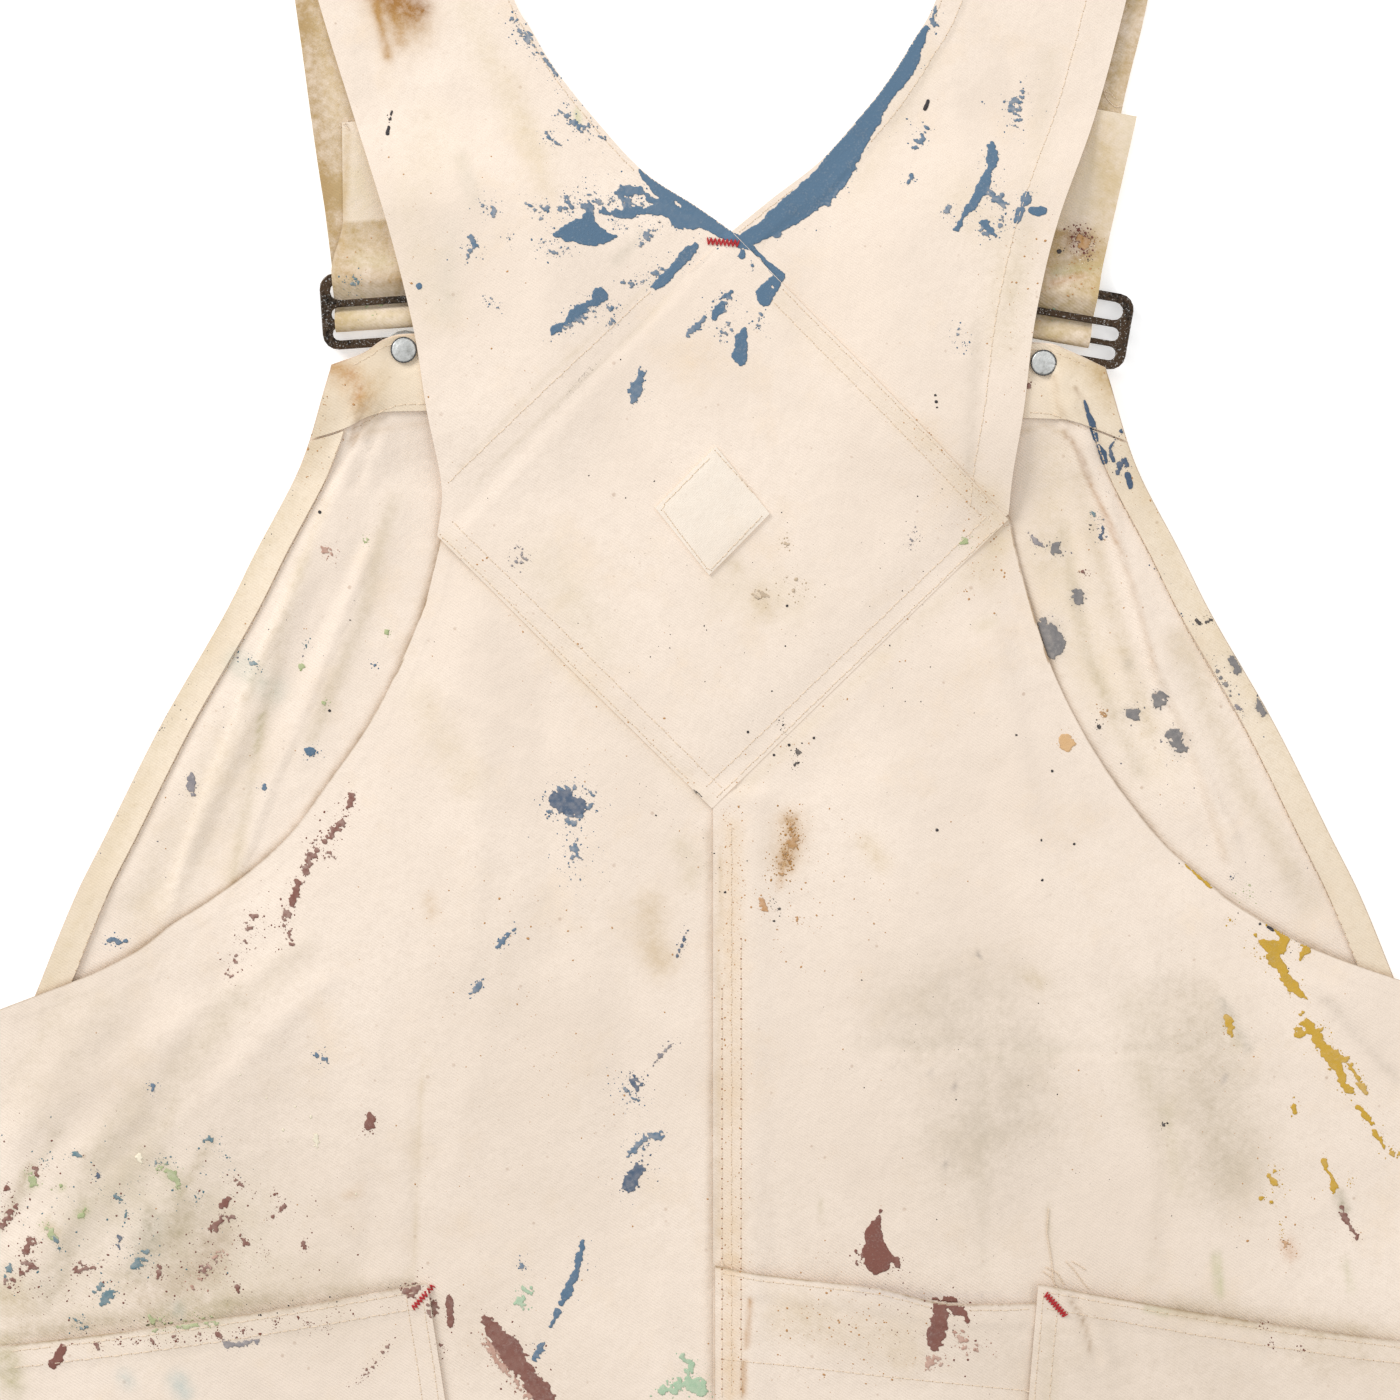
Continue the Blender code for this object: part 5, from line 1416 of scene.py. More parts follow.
def layStrap(side):
    left = side == "left"
    rows, backCount = strapSections(side)
    arm = np.array([row[0] for row in rows])
    neck = np.array([row[1] for row in rows])
    level = np.array([row[2] for row in rows])
    pastYoke = slice(strapCut["yokeRows"], backCount, 4)
    neckLine = [tuple(p) for p in neck[pastYoke]]
    armLine = [tuple(p) for p in arm[pastYoke]]
    hems = strapCut["hemHeight"]

    def placing(i, j):
        share = (i if left else strapCut["columns"] - i) / strapCut["columns"]
        x = mix(arm[j, 0], neck[j, 0], share)
        y = mix(arm[j, 1], neck[j, 1], share)
        back = strapBottomZ(x, y) + layers["cloth"] / 2
        back += crossingLift(x, y) if left else -crossingSink(x, y)
        back += hemRise(awayFrom(neckLine, x, y), strapCut["hem"], hems[side])
        back += hemRise(awayFrom(armLine, x, y), strapCut["armHem"], hems["arm"])
        return x, y, np.where(j < backCount, back, np.nan_to_num(level)[j])

    def marks(x, y, j):
        main = stainAndShadeAt(stainsOnEnds, x, y, frontGround["main"])
        freeEnd = stainAndShadeAt(stainsOnEnds, x, y, frontGround["freeEnd"])
        front = np.where((j < len(rows) - strapCut["endRows"])[:, None], main, freeEnd)
        return np.where((j < backCount)[:, None], backMarks(x, y, j), front)

    layCloth(f"shoulder_strap_{side}", strapCut["columns"], len(rows) - 1, placing, marks, drill,
             f"strap_{side}", strapCut["flat"])


pocketEdges = {
    "left": dict(top=(-104.8, -102, -262, -125), bottom=(-78, -276, -238, -300), gape=1.8),
    "brush": dict(top=(-1.0, -95.6, 119, -108.5), bottom=(-1.0, -262, 112, -274), gape=3.4),
    "right": dict(top=(115.2, -102, 264, -125), bottom=(101, -274, 240, -296), gape=1.2),
}
pocketCut = {
    "columns": 96,
    "flat": (0.165, 0.19),
    "deep": 172.0,
    "clip": 0.13,
    "hem": 8.8,
    "hemHeight": 0.4,
    "sag": 1.6,
    "brushSag": dict(
        share=[0, 0.14, 0.5, 0.68, 0.82, 0.92, 1], sag=[0, 1.2, 1.6, 4.6, 3.2, 1.8, 0.4]
    ),
    # A dark line along the pocket's top edge: painted shade where the edge stands over the panel
    "rim": tint(176, 152, 122),
}


def pocketPlace(name, share, down):
    edges = pocketEdges[name]
    top, bottom = edges["top"], edges["bottom"]
    clip = np.maximum(0.0, down - 1.0 + pocketCut["clip"])
    across = mix(clip, 1.0 - clip, share)
    x = mix(mix(top[0], top[2], across), mix(bottom[0], bottom[2], across), down)
    y = mix(mix(top[1], top[3], across), mix(bottom[1], bottom[3], across), down)
    sag = pocketCut["sag"] * np.sin(np.pi * share)
    if name == "brush":
        sag = curveAt(pocketCut["brushSag"]["share"], pocketCut["brushSag"]["sag"], share)
    y = y - sag * (1 - ease(down, 0.0, 0.2))
    z = backBottomZ(x, y) + layers["ply"] + layers["cloth"] / 2 + 0.2
    if name == "brush":
        z = z + fellRaise(x, y) - 0.5
    if name == "right":
        z = z + layers["ply"] * (1.0 - ease(share, 0.1, 0.26))
    gape = edges["gape"] * (1 - ease(down, 0.0, 0.3)) * np.sin(np.pi * share)
    hem = hemRise(down * pocketCut["deep"], pocketCut["hem"], pocketCut["hemHeight"])
    return x, y, z + gape + hem


def layPocket(name):
    downs = np.concatenate([[1.0, 0.95, 0.9, 0.87], np.linspace(0.84, 0.32, 20),
                            np.linspace(0.3, 0.014, 27), [0.006, 0.0]])
    rightwards = pocketEdges[name]["top"][2] > 0

    def placing(i, j):
        share = i / pocketCut["columns"]
        return pocketPlace(name, share if rightwards else 1 - share, downs[j])

    def marks(x, y, j):
        # The top row of the pocket gets the painted shade line
        rim = np.array([*pocketCut["rim"][:3], 0.9])
        return np.where((j >= len(downs) - 1)[:, None], rim, backMarks(x, y, j))

    layCloth(f"patch_pocket_{name}", pocketCut["columns"], len(downs) - 1, placing, marks, drill,
             f"pocket_{name}", pocketCut["flat"])


labelCut = {
    "x": -2.0,
    "y": 176.0,
    "across": 20.6,
    "along": 23.2,
    "turn": -3.0,
    "cells": 26,
    "lift": 0.45,
    "crown": 0.25,
    "flat": (0.033, 0.033),
}


def yokeTopZ(x, y):
    return strapBottomZ(x, y) + crossingLift(x, y) + layers["cloth"] / 2 + layers["shell"] / 2


def layLabel():
    turn = math.radians(labelCut["turn"])
    cells = labelCut["cells"]

    def placing(i, j):
        u, v = (i + j) / cells - 1.0, (j - i) / cells
        across, along = labelCut["across"] * u, labelCut["along"] * v
        x = labelCut["x"] + across * math.cos(turn) - along * math.sin(turn)
        y = labelCut["y"] + across * math.sin(turn) + along * math.cos(turn)
        edge = np.minimum(np.minimum(i, cells - i), np.minimum(j, cells - j))
        return x, y, yokeTopZ(x, y) + labelCut["lift"] + labelCut["crown"] * ease(edge, 0.0, 3.0)

    weave = makeClothFinish("labelWeave", labelCloth)
    layCloth("square_label", cells, cells, placing, noMarks, weave,
             "label", labelCut["flat"])


print("laying the cloth")
for side in ("left", "right"):
    layFront(side)
    layBack(side)
    layStrap(side)
layBib()
for name in pocketEdges:
    layPocket(name)
layLabel()


# What lies on top at any place, for the sewing and the paint
def readSurface():
    corners, faces, owners = [], [], []
    for cloth in cloths:
        first = len(corners)
        corners += [vertex.co[:] for vertex in cloth.data.vertices]
        faces += [[first + corner for corner in face.vertices] for face in cloth.data.polygons]
        owners += [cloth.name] * len(cloth.data.polygons)
    return BVHTree.FromPolygons(corners, faces), owners


surface, surfaceOwners = readSurface()
print("read", len(surfaceOwners), "faces of cloth")


def surfaceZ(x, y, owners=""):
    heights = np.full(len(x), np.nan)
    for k, (across, along) in enumerate(zip(x, y)):
        above = Vector((across * mm, (along + waistWorldY) * mm, 0.1))
        hit, _, face, _ = surface.ray_cast(above, Vector((0.0, 0.0, -1.0)))
        if hit and surfaceOwners[face].startswith(owners or ""):
            heights[k] = hit.z / mm
    return heights


# Metal: dark rusted steel for the buckles and dull zinc for the rivets
def makeMetalFinish(name, dark, bright, roughness, rust, rustAmount):
    f = Finish(name, roughness, 0.9)
    place = f.node("TexCoord", output="Object")
    broad = f.noise(place, 160.0, 4.0, 0.65)
    fine = f.noise(place, 900.0, 3.0, 0.7)
    colour = f.blend(dark, bright, ((fine - 0.35) * 2.2).held())
    rusty = ((broad + fine * 0.4 - (1.0 - rustAmount)) * 5.0).held()
    colour = f.blend(colour, rust, rusty * 0.8)
    # Bright silver specks: worn paint, and painted glints on the bars
    wearAndPaintedLight = ((f.noise(place, 1500.0, 2.0, 0.8) - 0.6) * 14.0).held()
    colour = f.blend(colour, tint(214, 214, 212), wearAndPaintedLight * 0.7)
    dented = f.bump(fine + broad, 0.35, 0.0004)
    return f.finish(Base_Color=colour, Roughness=roughness + rusty * 0.3, Normal=dented)


buckleSteel = (tint(26, 21, 19), tint(98, 84, 70), 0.26, tint(84, 66, 50), 0.46)
buckleMetal = makeMetalFinish("rustedSteel", *buckleSteel)
rivetZinc = (tint(206, 208, 206), tint(248, 248, 246), 0.42, tint(150, 150, 146), 0.34)
rivetMetal = makeMetalFinish("dullZinc", *rivetZinc)
for side in ("left", "right"):
    for part, metal in (("buckle", buckleMetal), ("button", rivetMetal), ("rivet", rivetMetal)):
        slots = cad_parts[f"{part}_{side}"].data.materials
        slots.clear()
        slots.append(metal)


# Sewing: every stitch is a short spindle of thread, with a needle hole at its end
sewing = {
    "pitch": 3.6,
    "thread": 0.21,
    "length": 2.5,
    "hole": 0.24,
    "darkHole": 0.36,
    "holeHalf": 0.16,
    "wobble": 0.12,
    "raised": 0.02,
    "paintMargin": 2.0,
    "topRows": (3.0, 25.6),
    "sideRow": 10.6,
    "labelPitch": 2.9,
}


def makeThreadFinish(name, colour, dark):
    f = Finish(name, 0.8)
    fuzz = f.noise(f.node("TexCoord", output="Object"), 2600.0, 2.0, 0.6)
    return f.finish(Base_Color=f.blend(dark, colour, fuzz), Normal=f.bump(fuzz, 0.3, 0.0001))


# Many small spindles in one piece: stitches, needle holes and drops of paint
def joinSpindles(name, spindles, radius, finish, squash=1.0, rounds=(5, 3), colours=None):
    ball = bmesh.new()
    bmesh.ops.create_uvsphere(ball, u_segments=rounds[0], v_segments=rounds[1], radius=1.0)
    bmesh.ops.triangulate(ball, faces=ball.faces[:])
    shape = np.array([vert.co[:] for vert in ball.verts])
    faces = np.array([[vert.index for vert in face.verts] for face in ball.faces])
    ball.free()
    start, end = (np.array([s[k] for s in spindles]) for k in (0, 1))
    radius = np.broadcast_to(radius, len(start))[:, None]
    middle, half = (start + end) / 2, (end - start) / 2
    length = np.linalg.norm(half, axis=1, keepdims=True)
    ahead = half / np.maximum(length, 1e-6)
    aside = np.cross(np.tile([0.0, 0.0, 1.0], (len(ahead), 1)), ahead)
    aside /= np.maximum(np.linalg.norm(aside, axis=1, keepdims=True), 1e-6)
    above = np.cross(ahead, aside)
    spots = (
        middle[:, None, :]
        + shape[None, :, 2:3] * (half + ahead * radius * 0.5)[:, None, :]
        + shape[None, :, 0:1] * (aside * radius)[:, None, :]
        + shape[None, :, 1:2] * (above * radius * squash)[:, None, :]
    )
    spots[..., 1] += waistWorldY
    count = len(shape)
    mesh = bpy.data.meshes.new(name)
    every = (faces[None] + count * np.arange(len(spindles))[:, None, None]).reshape(-1, 3)
    mesh.from_pydata((spots.reshape(-1, 3) * mm).tolist(), [], every.tolist())
    if colours is not None:
        paint = mesh.attributes.new("paint", "FLOAT_COLOR", "POINT")
        paint.data.foreach_set("color", np.repeat(colours, count, axis=0).ravel())
    mesh.shade_smooth()
    mesh.materials.append(finish)
    joined = putInScene(name, mesh)
    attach(joined, "root")
    print("joined", name, len(spindles), "pieces")


def evenly(line, pitch):
    line = np.array(line, float)
    gaps = np.hypot(*np.diff(line, axis=0).T)
    reach = np.concatenate([[0.0], np.cumsum(gaps)])
    at = np.arange(0.0, reach[-1], pitch)
    return np.column_stack([np.interp(at, reach, line[:, 0]), np.interp(at, reach, line[:, 1])])


def fromPhotoLine(*places):
    return [tuple(float(part) for part in fromPhoto(across, down)) for across, down in places]


# A line moved sideways by some millimetres, to its left as it runs
def beside(line, aside):
    line = np.array(line, float)
    along = np.gradient(line, axis=0)
    along /= np.linalg.norm(along, axis=1, keepdims=True)
    return line + aside * np.column_stack([-along[:, 1], along[:, 0]])


threads, holes, darkHoles = [], [], []


# How far inside a brush stroke places lie, in pixels of the photograph
def insideStroke(places, across, down):
    inside = np.full(np.shape(across), -99.0)
    for (x1, y1, r1), (x2, y2, r2) in zip(places, places[1:] or places):
        dx, dy = x2 - x1, y2 - y1
        t = np.clip(((across - x1) * dx + (down - y1) * dy) / (dx * dx + dy * dy + 1e-9), 0.0, 1.0)
        reach = np.hypot(across - x1 - t * dx, down - y1 - t * dy)
        inside = np.maximum(inside, r1 + (r2 - r1) * t - reach)
    return inside


wetStrokes = [places for paint, dry, *places in strokesOnBack if dry < 0.7 and paint != "bare"]


def sewRow(line, owners="", pitch=sewing["pitch"], needle=holes):
    spots = evenly(line, pitch)
    ahead = np.diff(spots, axis=0) / pitch
    wobble = sewing["wobble"] * np.sin(7.3 * spots[:-1, 0] + 3.1 * spots[:-1, 1])
    start = spots[:-1] + wobble[:, None] * np.column_stack([-ahead[:, 1], ahead[:, 0]])
    end = start + ahead * sewing["length"]
    hole = spots[:-1] - ahead * 0.5
    heights = [surfaceZ(p[:, 0], p[:, 1], owners) for p in (start, end, hole)]
    across = start[:, 0] / photo["pixel"] + photo["waistAcross"]
    down = photo["waistDown"] - start[:, 1] / photo["pixel"]
    nearPaint = np.max([insideStroke(places, across, down) for places in wetStrokes], axis=0)
    covered = nearPaint > -sewing["paintMargin"]
    raised, half = sewing["raised"], sewing["holeHalf"]
    for k in np.flatnonzero(np.isfinite(np.sum(heights, axis=0)) & ~covered):
        stitch = ((*start[k], heights[0][k] + raised), (*end[k], heights[1][k] + raised))
        threads.append(np.array(stitch))
        pricked = [(*(hole[k] + ahead[k] * aside), heights[2][k]) for aside in (-half, half)]
        needle.append(np.array(pricked))


# The centre seam, the yoke, and the hems of the straps, bib and pockets
print("sewing")
for across, top, needle in ((722.0, 990, darkHoles), (731.5, 826, holes), (741.0, 940, darkHoles)):
    sewRow(fromPhotoLine((across, top), (across, 1404)), needle=needle)
    sewRow([(fromPhoto(across, 0)[0], -146.0), (fromPhoto(across, 0)[0], -290.0)])
for start, end, *asides in (
    ((437, 540), (712, 812), 2.2, 8.6),
    ((722, 800), (1008, 525), 2.0, 7.4),
    ((775, 272), (1004, 508), -2.4, -8.0),
    ((446, 478), (690, 246), -2.0),
):
    for aside in asides:
        sewRow(beside(fromPhotoLine(start, end), aside), "shoulder")
for side, sign in (("left", -1), ("right", 1)):
    band = strapBands[side]
    fine = np.linspace(2.15, 9.0, 60)
    neckEdge = np.column_stack([bandCurve(band["neckX"], fine), bandCurve(band["neckY"], fine)])
    armEdge = np.column_stack([bandCurve(band["armX"], fine), bandCurve(band["armY"], fine)])
    if side == "right":
        sewRow(beside(neckEdge, -9.0), "shoulder")
    sewRow(beside(neckEdge, -sign * 2.0), "shoulder")
    if side == "right":
        sewRow(beside(armEdge, 14.0), "shoulder")
    up = bibCut["height"] * np.linspace(0.02, 0.86, 50)
    edge = np.column_stack([sign * curveAt(bibSide["y"], bibSide["x"], up), up])
    sewRow(beside(edge, sign * sewing["sideRow"]), "bib")
    acrossTop = np.linspace(84, 134, 20)
    top = curveAt(bibTop["x"], bibTop["y"], sign * acrossTop)
    for drop in sewing["topRows"]:
        sewRow(list(zip(sign * acrossTop, top - drop)), "bib")
for name, edges in pocketEdges.items():
    tops = np.linspace(0.03, 0.97, 30)
    for down in (0.013, 0.047 if name != "brush" else 0.2):
        x, y, _ = pocketPlace(name, tops, np.full(30, down))
        sewRow(list(zip(x, y)), "patch")
    downs = np.linspace(0.02, 0.84, 30)
    for share in (0.014, 0.05):
        if name != "brush":
            x, y, _ = pocketPlace(name, np.full(30, share), downs)
            sewRow(list(zip(x, y)), "patch")
labelEdge = fromPhotoLine((716, 452), (768, 510), (709, 572), (661, 508), (716, 452))
sewRow(labelEdge, "square", pitch=sewing["labelPitch"])
creamThread = makeThreadFinish("creamThread", tint(246, 228, 206), tint(222, 200, 172))
holeShade = makeThreadFinish("needleHoles", tint(214, 186, 152), tint(176, 142, 106))
darkShade = makeThreadFinish("darkHoles", tint(186, 128, 88), tint(140, 88, 62))
redThread = makeThreadFinish("redThread", tint(206, 48, 52), tint(160, 30, 38))
joinSpindles("seam_stitches", threads, sewing["thread"], creamThread)
joinSpindles("needle_holes", holes, sewing["hole"], holeShade, 0.5)
joinSpindles("seam_holes", darkHoles, sewing["darkHole"], darkShade, 0.5)


# Bar tacks: a tight zigzag of red thread from one place to another
barTacks = [
    dict(start=(707, 241), end=(739, 244), width=8.0, turns=8),
    dict(start=(433, 1286), end=(413, 1308), width=6.0, turns=8),
    dict(start=(1045, 1293), end=(1065, 1315), width=7.0, turns=9),
]
tacks = []
for tack in barTacks:
    start, end = (np.array(fromPhoto(*tack[key])) for key in ("start", "end"))
    ahead = (end - start) / np.linalg.norm(end - start)
    aside = np.array([-ahead[1], ahead[0]]) * tack["width"] * photo["pixel"] / 2
    turns = 2 * tack["turns"]
    zig = np.array([start + (end - start) * k / turns + aside * (-1) ** k for k in range(turns + 1)])
    z = surfaceZ(zig[:, 0], zig[:, 1]) + 0.3
    zig = np.column_stack([zig, z])
    tacks += list(zip(zig, zig[1:]))
joinSpindles("bar_tacks", tacks, 0.34, redThread)


# Loose threads, as lines over the photograph
looseThreads = [
    [(1049, 1209), (1047, 1232), (1052, 1262), (1054, 1284)],
    [(1043, 1272), (1052, 1278), (1058, 1290)],
    [(1066, 1262), (1074, 1270), (1084, 1284), (1090, 1290)],
    [(1072, 1262), (1080, 1266), (1088, 1272)],
    [(1046, 1268), (1058, 1274), (1066, 1288)],
    [(348, 118), (345, 124), (349, 130)],
    [(346, 122), (340, 126), (338, 122)],
    [(1104, 88), (1108, 98), (1116, 106), (1126, 104), (1134, 112)],
    [(1106, 90), (1112, 92), (1118, 100)],
]
strands = []
for line in looseThreads:
    spots = evenly(fromPhotoLine(*line), 1.2)
    z = surfaceZ(spots[:, 0], spots[:, 1]) + 0.35
    spots = np.column_stack([spots, z])[np.isfinite(z)]
    strands += list(zip(spots, spots[1:]))
joinSpindles("loose_threads", strands, 0.2, creamThread)


# Dark line round each rivet: painted shade for the rounded edge of its dome
rivetRim = {"steps": 25, "level": 0.35, "width": 0.3}
rims = []
for side in ("left", "right"):
    low, high = (np.array(corner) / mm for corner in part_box(f"rivet_{side}"))
    middle, reach = (low + high) / 2, (high[0] - low[0]) / 2
    angles = np.linspace(0.0, 2.0 * math.pi, rivetRim["steps"])
    x = middle[0] + reach * np.cos(angles)
    y = middle[1] - waistWorldY + reach * np.sin(angles)
    level = low[2] + rivetRim["level"] * (high[2] - low[2])
    ring = np.column_stack([x, y, np.full(len(x), level)])
    rims += list(zip(ring, ring[1:]))
rimGrime = makeThreadFinish("rimGrime", tint(92, 92, 92), tint(54, 52, 52))
joinSpindles("rivet_rims", rims, rivetRim["width"], rimGrime)


# Dried paint, a thin film in small cells over all the strokes of one kind of place
paintFilm = {
    "cell": 1.2,
    "margin": 12.0,
    "thickness": 0.1,
    "lift": 0.06,
    "step": 1.3,
    "grain": 2.2,
    "patch": 9.0,
    "ragged": 5.0,
    "weave": 6.0,
    "fine": 5.0,
    "loose": 9.0,
    "shoulders": 420.0,
}


def cellNoise(x, y, seed):
    column, row = np.floor(x), np.floor(y)
    u, v = x - column, y - row
    u, v = u * u * (3.0 - 2.0 * u), v * v * (3.0 - 2.0 * v)

    def corner(right, down):
        value = np.sin((column + right) * 127.1 + (row + down) * 311.7 + seed * 74.7) * 43758.5453
        return value - np.floor(value)

    return mix(mix(corner(0, 0), corner(1, 0), u), mix(corner(0, 1), corner(1, 1), u), v)


def brushed(places, dry, across, down):
    here = insideStroke(places, across, down)
    turn = math.radians(drillCloth["ribTurn"])
    alongRib = -across * math.sin(turn) - down * math.cos(turn)
    overRib = across * math.cos(turn) - down * math.sin(turn)
    patch, grain = paintFilm["patch"], paintFilm["grain"]
    ragged = cellNoise(across / patch, down / patch, 1) + cellNoise(across / 4.0, down / 4.0, 2) - 1.0
    weave = cellNoise(overRib / grain, alongRib / (2.2 * grain), 3) - 0.5
    fine = cellNoise(across / 1.5, down / 1.5, 4) - 0.5
    starved = max(0.0, dry - 0.8) * (1.2 + 0.4 * max(place[2] for place in places))
    loose = (cellNoise(across / 17.0, down / 17.0, 6) - 0.5) * paintFilm["loose"] * min(dry, 0.6)
    rough = weave * paintFilm["weave"] + fine * paintFilm["fine"]
    broken = min(dry, 0.9) * ragged * paintFilm["ragged"] + max(0.0, dry - 0.15) * rough
    small = min(1.0, 0.3 + max(place[2] for place in places) / 6.0)
    return here + small * (broken + loose) - starved


def layPaint(name, strokes, owners):
    cell = paintFilm["cell"]
    margin = paintFilm["margin"]
    edge = np.arange(-margin, photo["size"] + margin, cell)
    depth = np.full((len(edge), len(edge)), -99.0)
    colour = np.ones((len(edge), len(edge), 4))
    for paint, dry, *places in strokes:
        reach = max(place[2] for place in places) + 2.0 + 6.0 * dry
        low = np.min(places, axis=0)[:2] - reach
        high = np.max(places, axis=0)[:2] + reach
        left, top = np.clip(np.searchsorted(edge, low), 0, len(edge))
        right, bottom = np.clip(np.searchsorted(edge, high), 0, len(edge))
        across, down = np.meshgrid(edge[left:right], edge[top:bottom], indexing="ij")
        here = brushed(places, dry, across, down)
        window = depth[left:right, top:bottom]
        if paint == "bare":
            window[:] = np.minimum(window, -here)
            continue
        better = here > window
        window[better] = here[better]
        thin = 0.02 + 0.2 * np.clip(dry - 0.4, 0.0, 1.4) * cellNoise(across / 3.0, down / 3.0, 5)
        thinned = mix(np.array(paints[paint]), np.array(drillCloth["light"]), thin[..., None])
        colour[left:right, top:bottom][better] = thinned[better]
    middle = (depth[:-1, :-1] + depth[1:, :-1] + depth[:-1, 1:] + depth[1:, 1:]) / 4
    i, j = np.nonzero(middle > 0.0)
    size = len(edge)
    cells = np.stack([i * size + j, i * size + j + 1, (i + 1) * size + j + 1, (i + 1) * size + j], axis=1)
    used, faces = np.unique(cells, return_inverse=True)
    faces = faces.reshape(-1, 4)
    slopes = np.gradient(depth, cell)
    slopes = [slope.ravel()[used] for slope in slopes]
    steep = slopes[0] ** 2 + slopes[1] ** 2 + 0.05
    rim = np.bincount(faces.ravel(), minlength=len(used)) < 4
    pull = np.where(rim, np.clip(-depth.ravel()[used] / steep, -0.6 * cell, 0.6 * cell), 0.0)
    across = edge[used // size] + pull * slopes[0]
    down = edge[used % size] + pull * slopes[1]
    x, y = fromPhoto(across, down)
    z = surfaceZ(x, y, owners)
    spread = np.ptp(z[faces], axis=1)
    faces = faces[np.isfinite(spread) & (spread < paintFilm["step"])]
    kept, faces = np.unique(faces, return_inverse=True)
    faces = faces.reshape(-1, 4)
    spots = np.column_stack([x, y + waistWorldY, z + paintFilm["lift"]])[kept] * mm
    mesh = bpy.data.meshes.new(name)
    mesh.from_pydata(spots.tolist(), [], faces.tolist())
    paint = mesh.attributes.new("paint", "FLOAT_COLOR", "POINT")
    paint.data.foreach_set("color", colour.reshape(-1, 4)[used][kept].ravel())
    mesh.materials.append(driedPaint)
    film = putInScene(name, mesh)
    thicken(film, paintFilm["thickness"])
    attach(film, "root")
    print("painted", name, len(film.data.polygons), "faces")


# Spatter: small flat drops scattered about a line, and some beside each dry stroke
spatterDrop = {"size": 0.66, "flat": 0.25, "rounds": (4, 3), "seed": 7, "scatter": (1.5, 0.9)}


def spatter(name, groups, strokes, owners):
    chance = np.random.default_rng(spatterDrop["seed"])
    drops, sizes, colours = [], [], []
    for paint, dry, *places in strokes:
        if dry > 0.4 and paint != "bare":
            wide = max(place[2] for place in places)
            line = [place[:2] for place in places] + [(places[-1][0] + 1.5, places[-1][1] + 1.5)]
            count = int(6 + 2 * wide + 4 * min(dry, 2.0) * len(places))
            least, perWidth = spatterDrop["scatter"]
            groups = [*groups, (paint, count, spatterDrop["size"], least + perWidth * wide, *line)]
    for paint, count, size, scatter, *line in groups:
        spots = evenly(line, 1.0)
        at = spots[chance.integers(0, len(spots), count)] + chance.normal(0.0, scatter, (count, 2))
        x, y = fromPhoto(at[:, 0], at[:, 1])
        z = surfaceZ(x, y, owners)
        half = size * photo["pixel"] * (0.5 + 1.1 * chance.random(count) ** 4)
        angle = chance.random(count) * math.pi
        reach = half * (0.2 + 0.9 * chance.random(count) ** 2)
        for k in np.flatnonzero(np.isfinite(z)):
            ahead = np.array([math.cos(angle[k]), math.sin(angle[k]), 0.0]) * reach[k]
            spot = np.array([x[k], y[k], z[k]])
            drops.append((spot - ahead, spot + ahead))
            sizes.append(half[k])
            colours.append(paints[paint])
    flat, rounds = spatterDrop["flat"], spatterDrop["rounds"]
    joinSpindles(name, drops, np.array(sizes), driedPaint, flat, rounds, np.array(colours))


print("painting")
driedPaint = makePaintFinish()
upper = [stroke for stroke in strokesOnBack if stroke[2][1] < paintFilm["shoulders"]]
lower = [stroke for stroke in strokesOnBack if stroke[2][1] >= paintFilm["shoulders"]]
layPaint("paint_on_shoulders", upper, "shoulder")
layPaint("paint_on_back", lower, ("back", "shoulder", "patch"))
layPaint("paint_on_bib", strokesOnBib, "bib")
layPaint("paint_on_straps", strokesOnEnds, "shoulder")
spatter("spatter_on_back", spatterOnBack, strokesOnBack, ("back", "shoulder", "patch"))
spatter("spatter_on_bib", spatterOnBib, strokesOnBib, "bib")
spatter("spatter_on_straps", spatterOnEnds, strokesOnEnds, "shoulder")


# Floor, light and camera
floorPaper = {"size": 8.0, "below": 0.0004, "glow": 0.3}


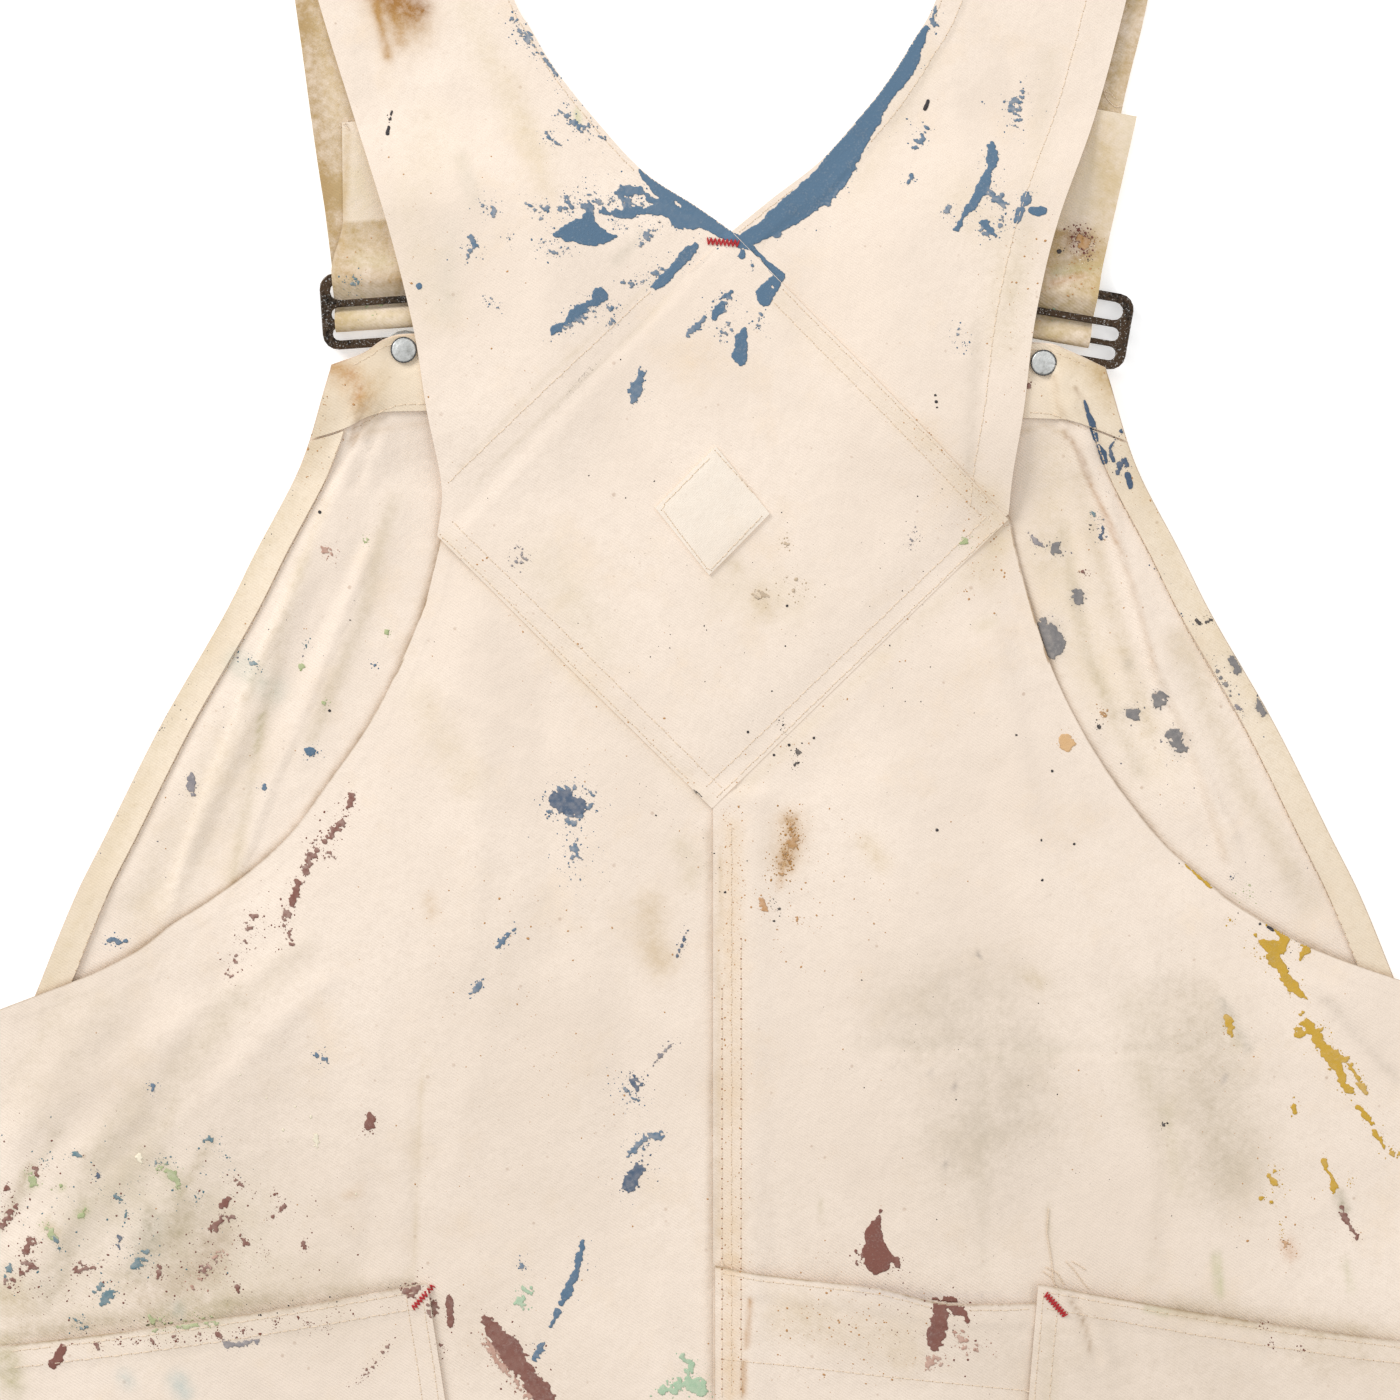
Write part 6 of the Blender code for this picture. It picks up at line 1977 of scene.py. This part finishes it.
def makeFloor():
    floor = bmesh.new()
    bmesh.ops.create_grid(floor, x_segments=1, y_segments=1, size=floorPaper["size"])
    mesh = bpy.data.meshes.new("pale_floor")
    floor.to_mesh(mesh)
    floor.free()
    mesh.transform(Matrix.Translation((0.0, 0.0, -floorPaper["below"])))
    paper = Finish("paleFloor", 0.9)
    place = paper.node("TexCoord", output="Object")
    tone = paper.noise(place, 3.0)
    paper.surface.inputs["Emission Strength"].default_value = floorPaper["glow"]
    white = paper.blend(tint(252, 252, 252), tint(255, 255, 255), tone)
    mesh.materials.append(paper.finish(Base_Color=white))
    paper.surface.inputs["Emission Color"].default_value = (1.0, 1.0, 1.0, 1.0)
    putInScene("pale_floor", mesh)


studio = {
    "key": dict(place=(-1.7, 1.9, 1.1), size=1.1, power=39.0),
    "fill": dict(place=(1.8, 0.4, 2.0), size=2.4, power=14.0),
    "sky": 0.65,
}


def makeStudio():
    for name in ("key", "fill"):
        light = bpy.data.lights.new(name, "AREA")
        light.energy = studio[name]["power"]
        light.size = studio[name]["size"]
        lamp = putInScene(name, light)
        lamp.location = studio[name]["place"]
        aim = Vector((0.0, 0.4, 0.0)) - lamp.location
        lamp.rotation_euler = aim.to_track_quat("-Z", "Y").to_euler()
    world = bpy.data.worlds.new("studio")
    world.use_nodes = True
    world.node_tree.nodes["Background"].inputs["Color"].default_value = (1.0, 1.0, 1.0, 1.0)
    world.node_tree.nodes["Background"].inputs["Strength"].default_value = studio["sky"]
    bpy.context.scene.world = world
    bpy.context.scene.view_settings.view_transform = "Standard"


fromAbove = {"lens": 85.0, "sensor": 36.0, "clothHeight": 0.004}


def makeCamera():
    lens, sensor = fromAbove["lens"], fromAbove["sensor"]
    frameWidth = photo["size"] * photo["pixel"] * mm
    camera = bpy.data.cameras.new("camera")
    camera.lens, camera.sensor_width = lens, sensor
    x, y = fromPhoto(photo["size"] / 2, photo["size"] / 2)
    eye = putInScene("camera", camera)
    eye.location = (x * mm, (y + waistWorldY) * mm, frameWidth * lens / sensor + fromAbove["clothHeight"])
    bpy.context.scene.camera = eye


makeFloor()
makeStudio()
makeCamera()
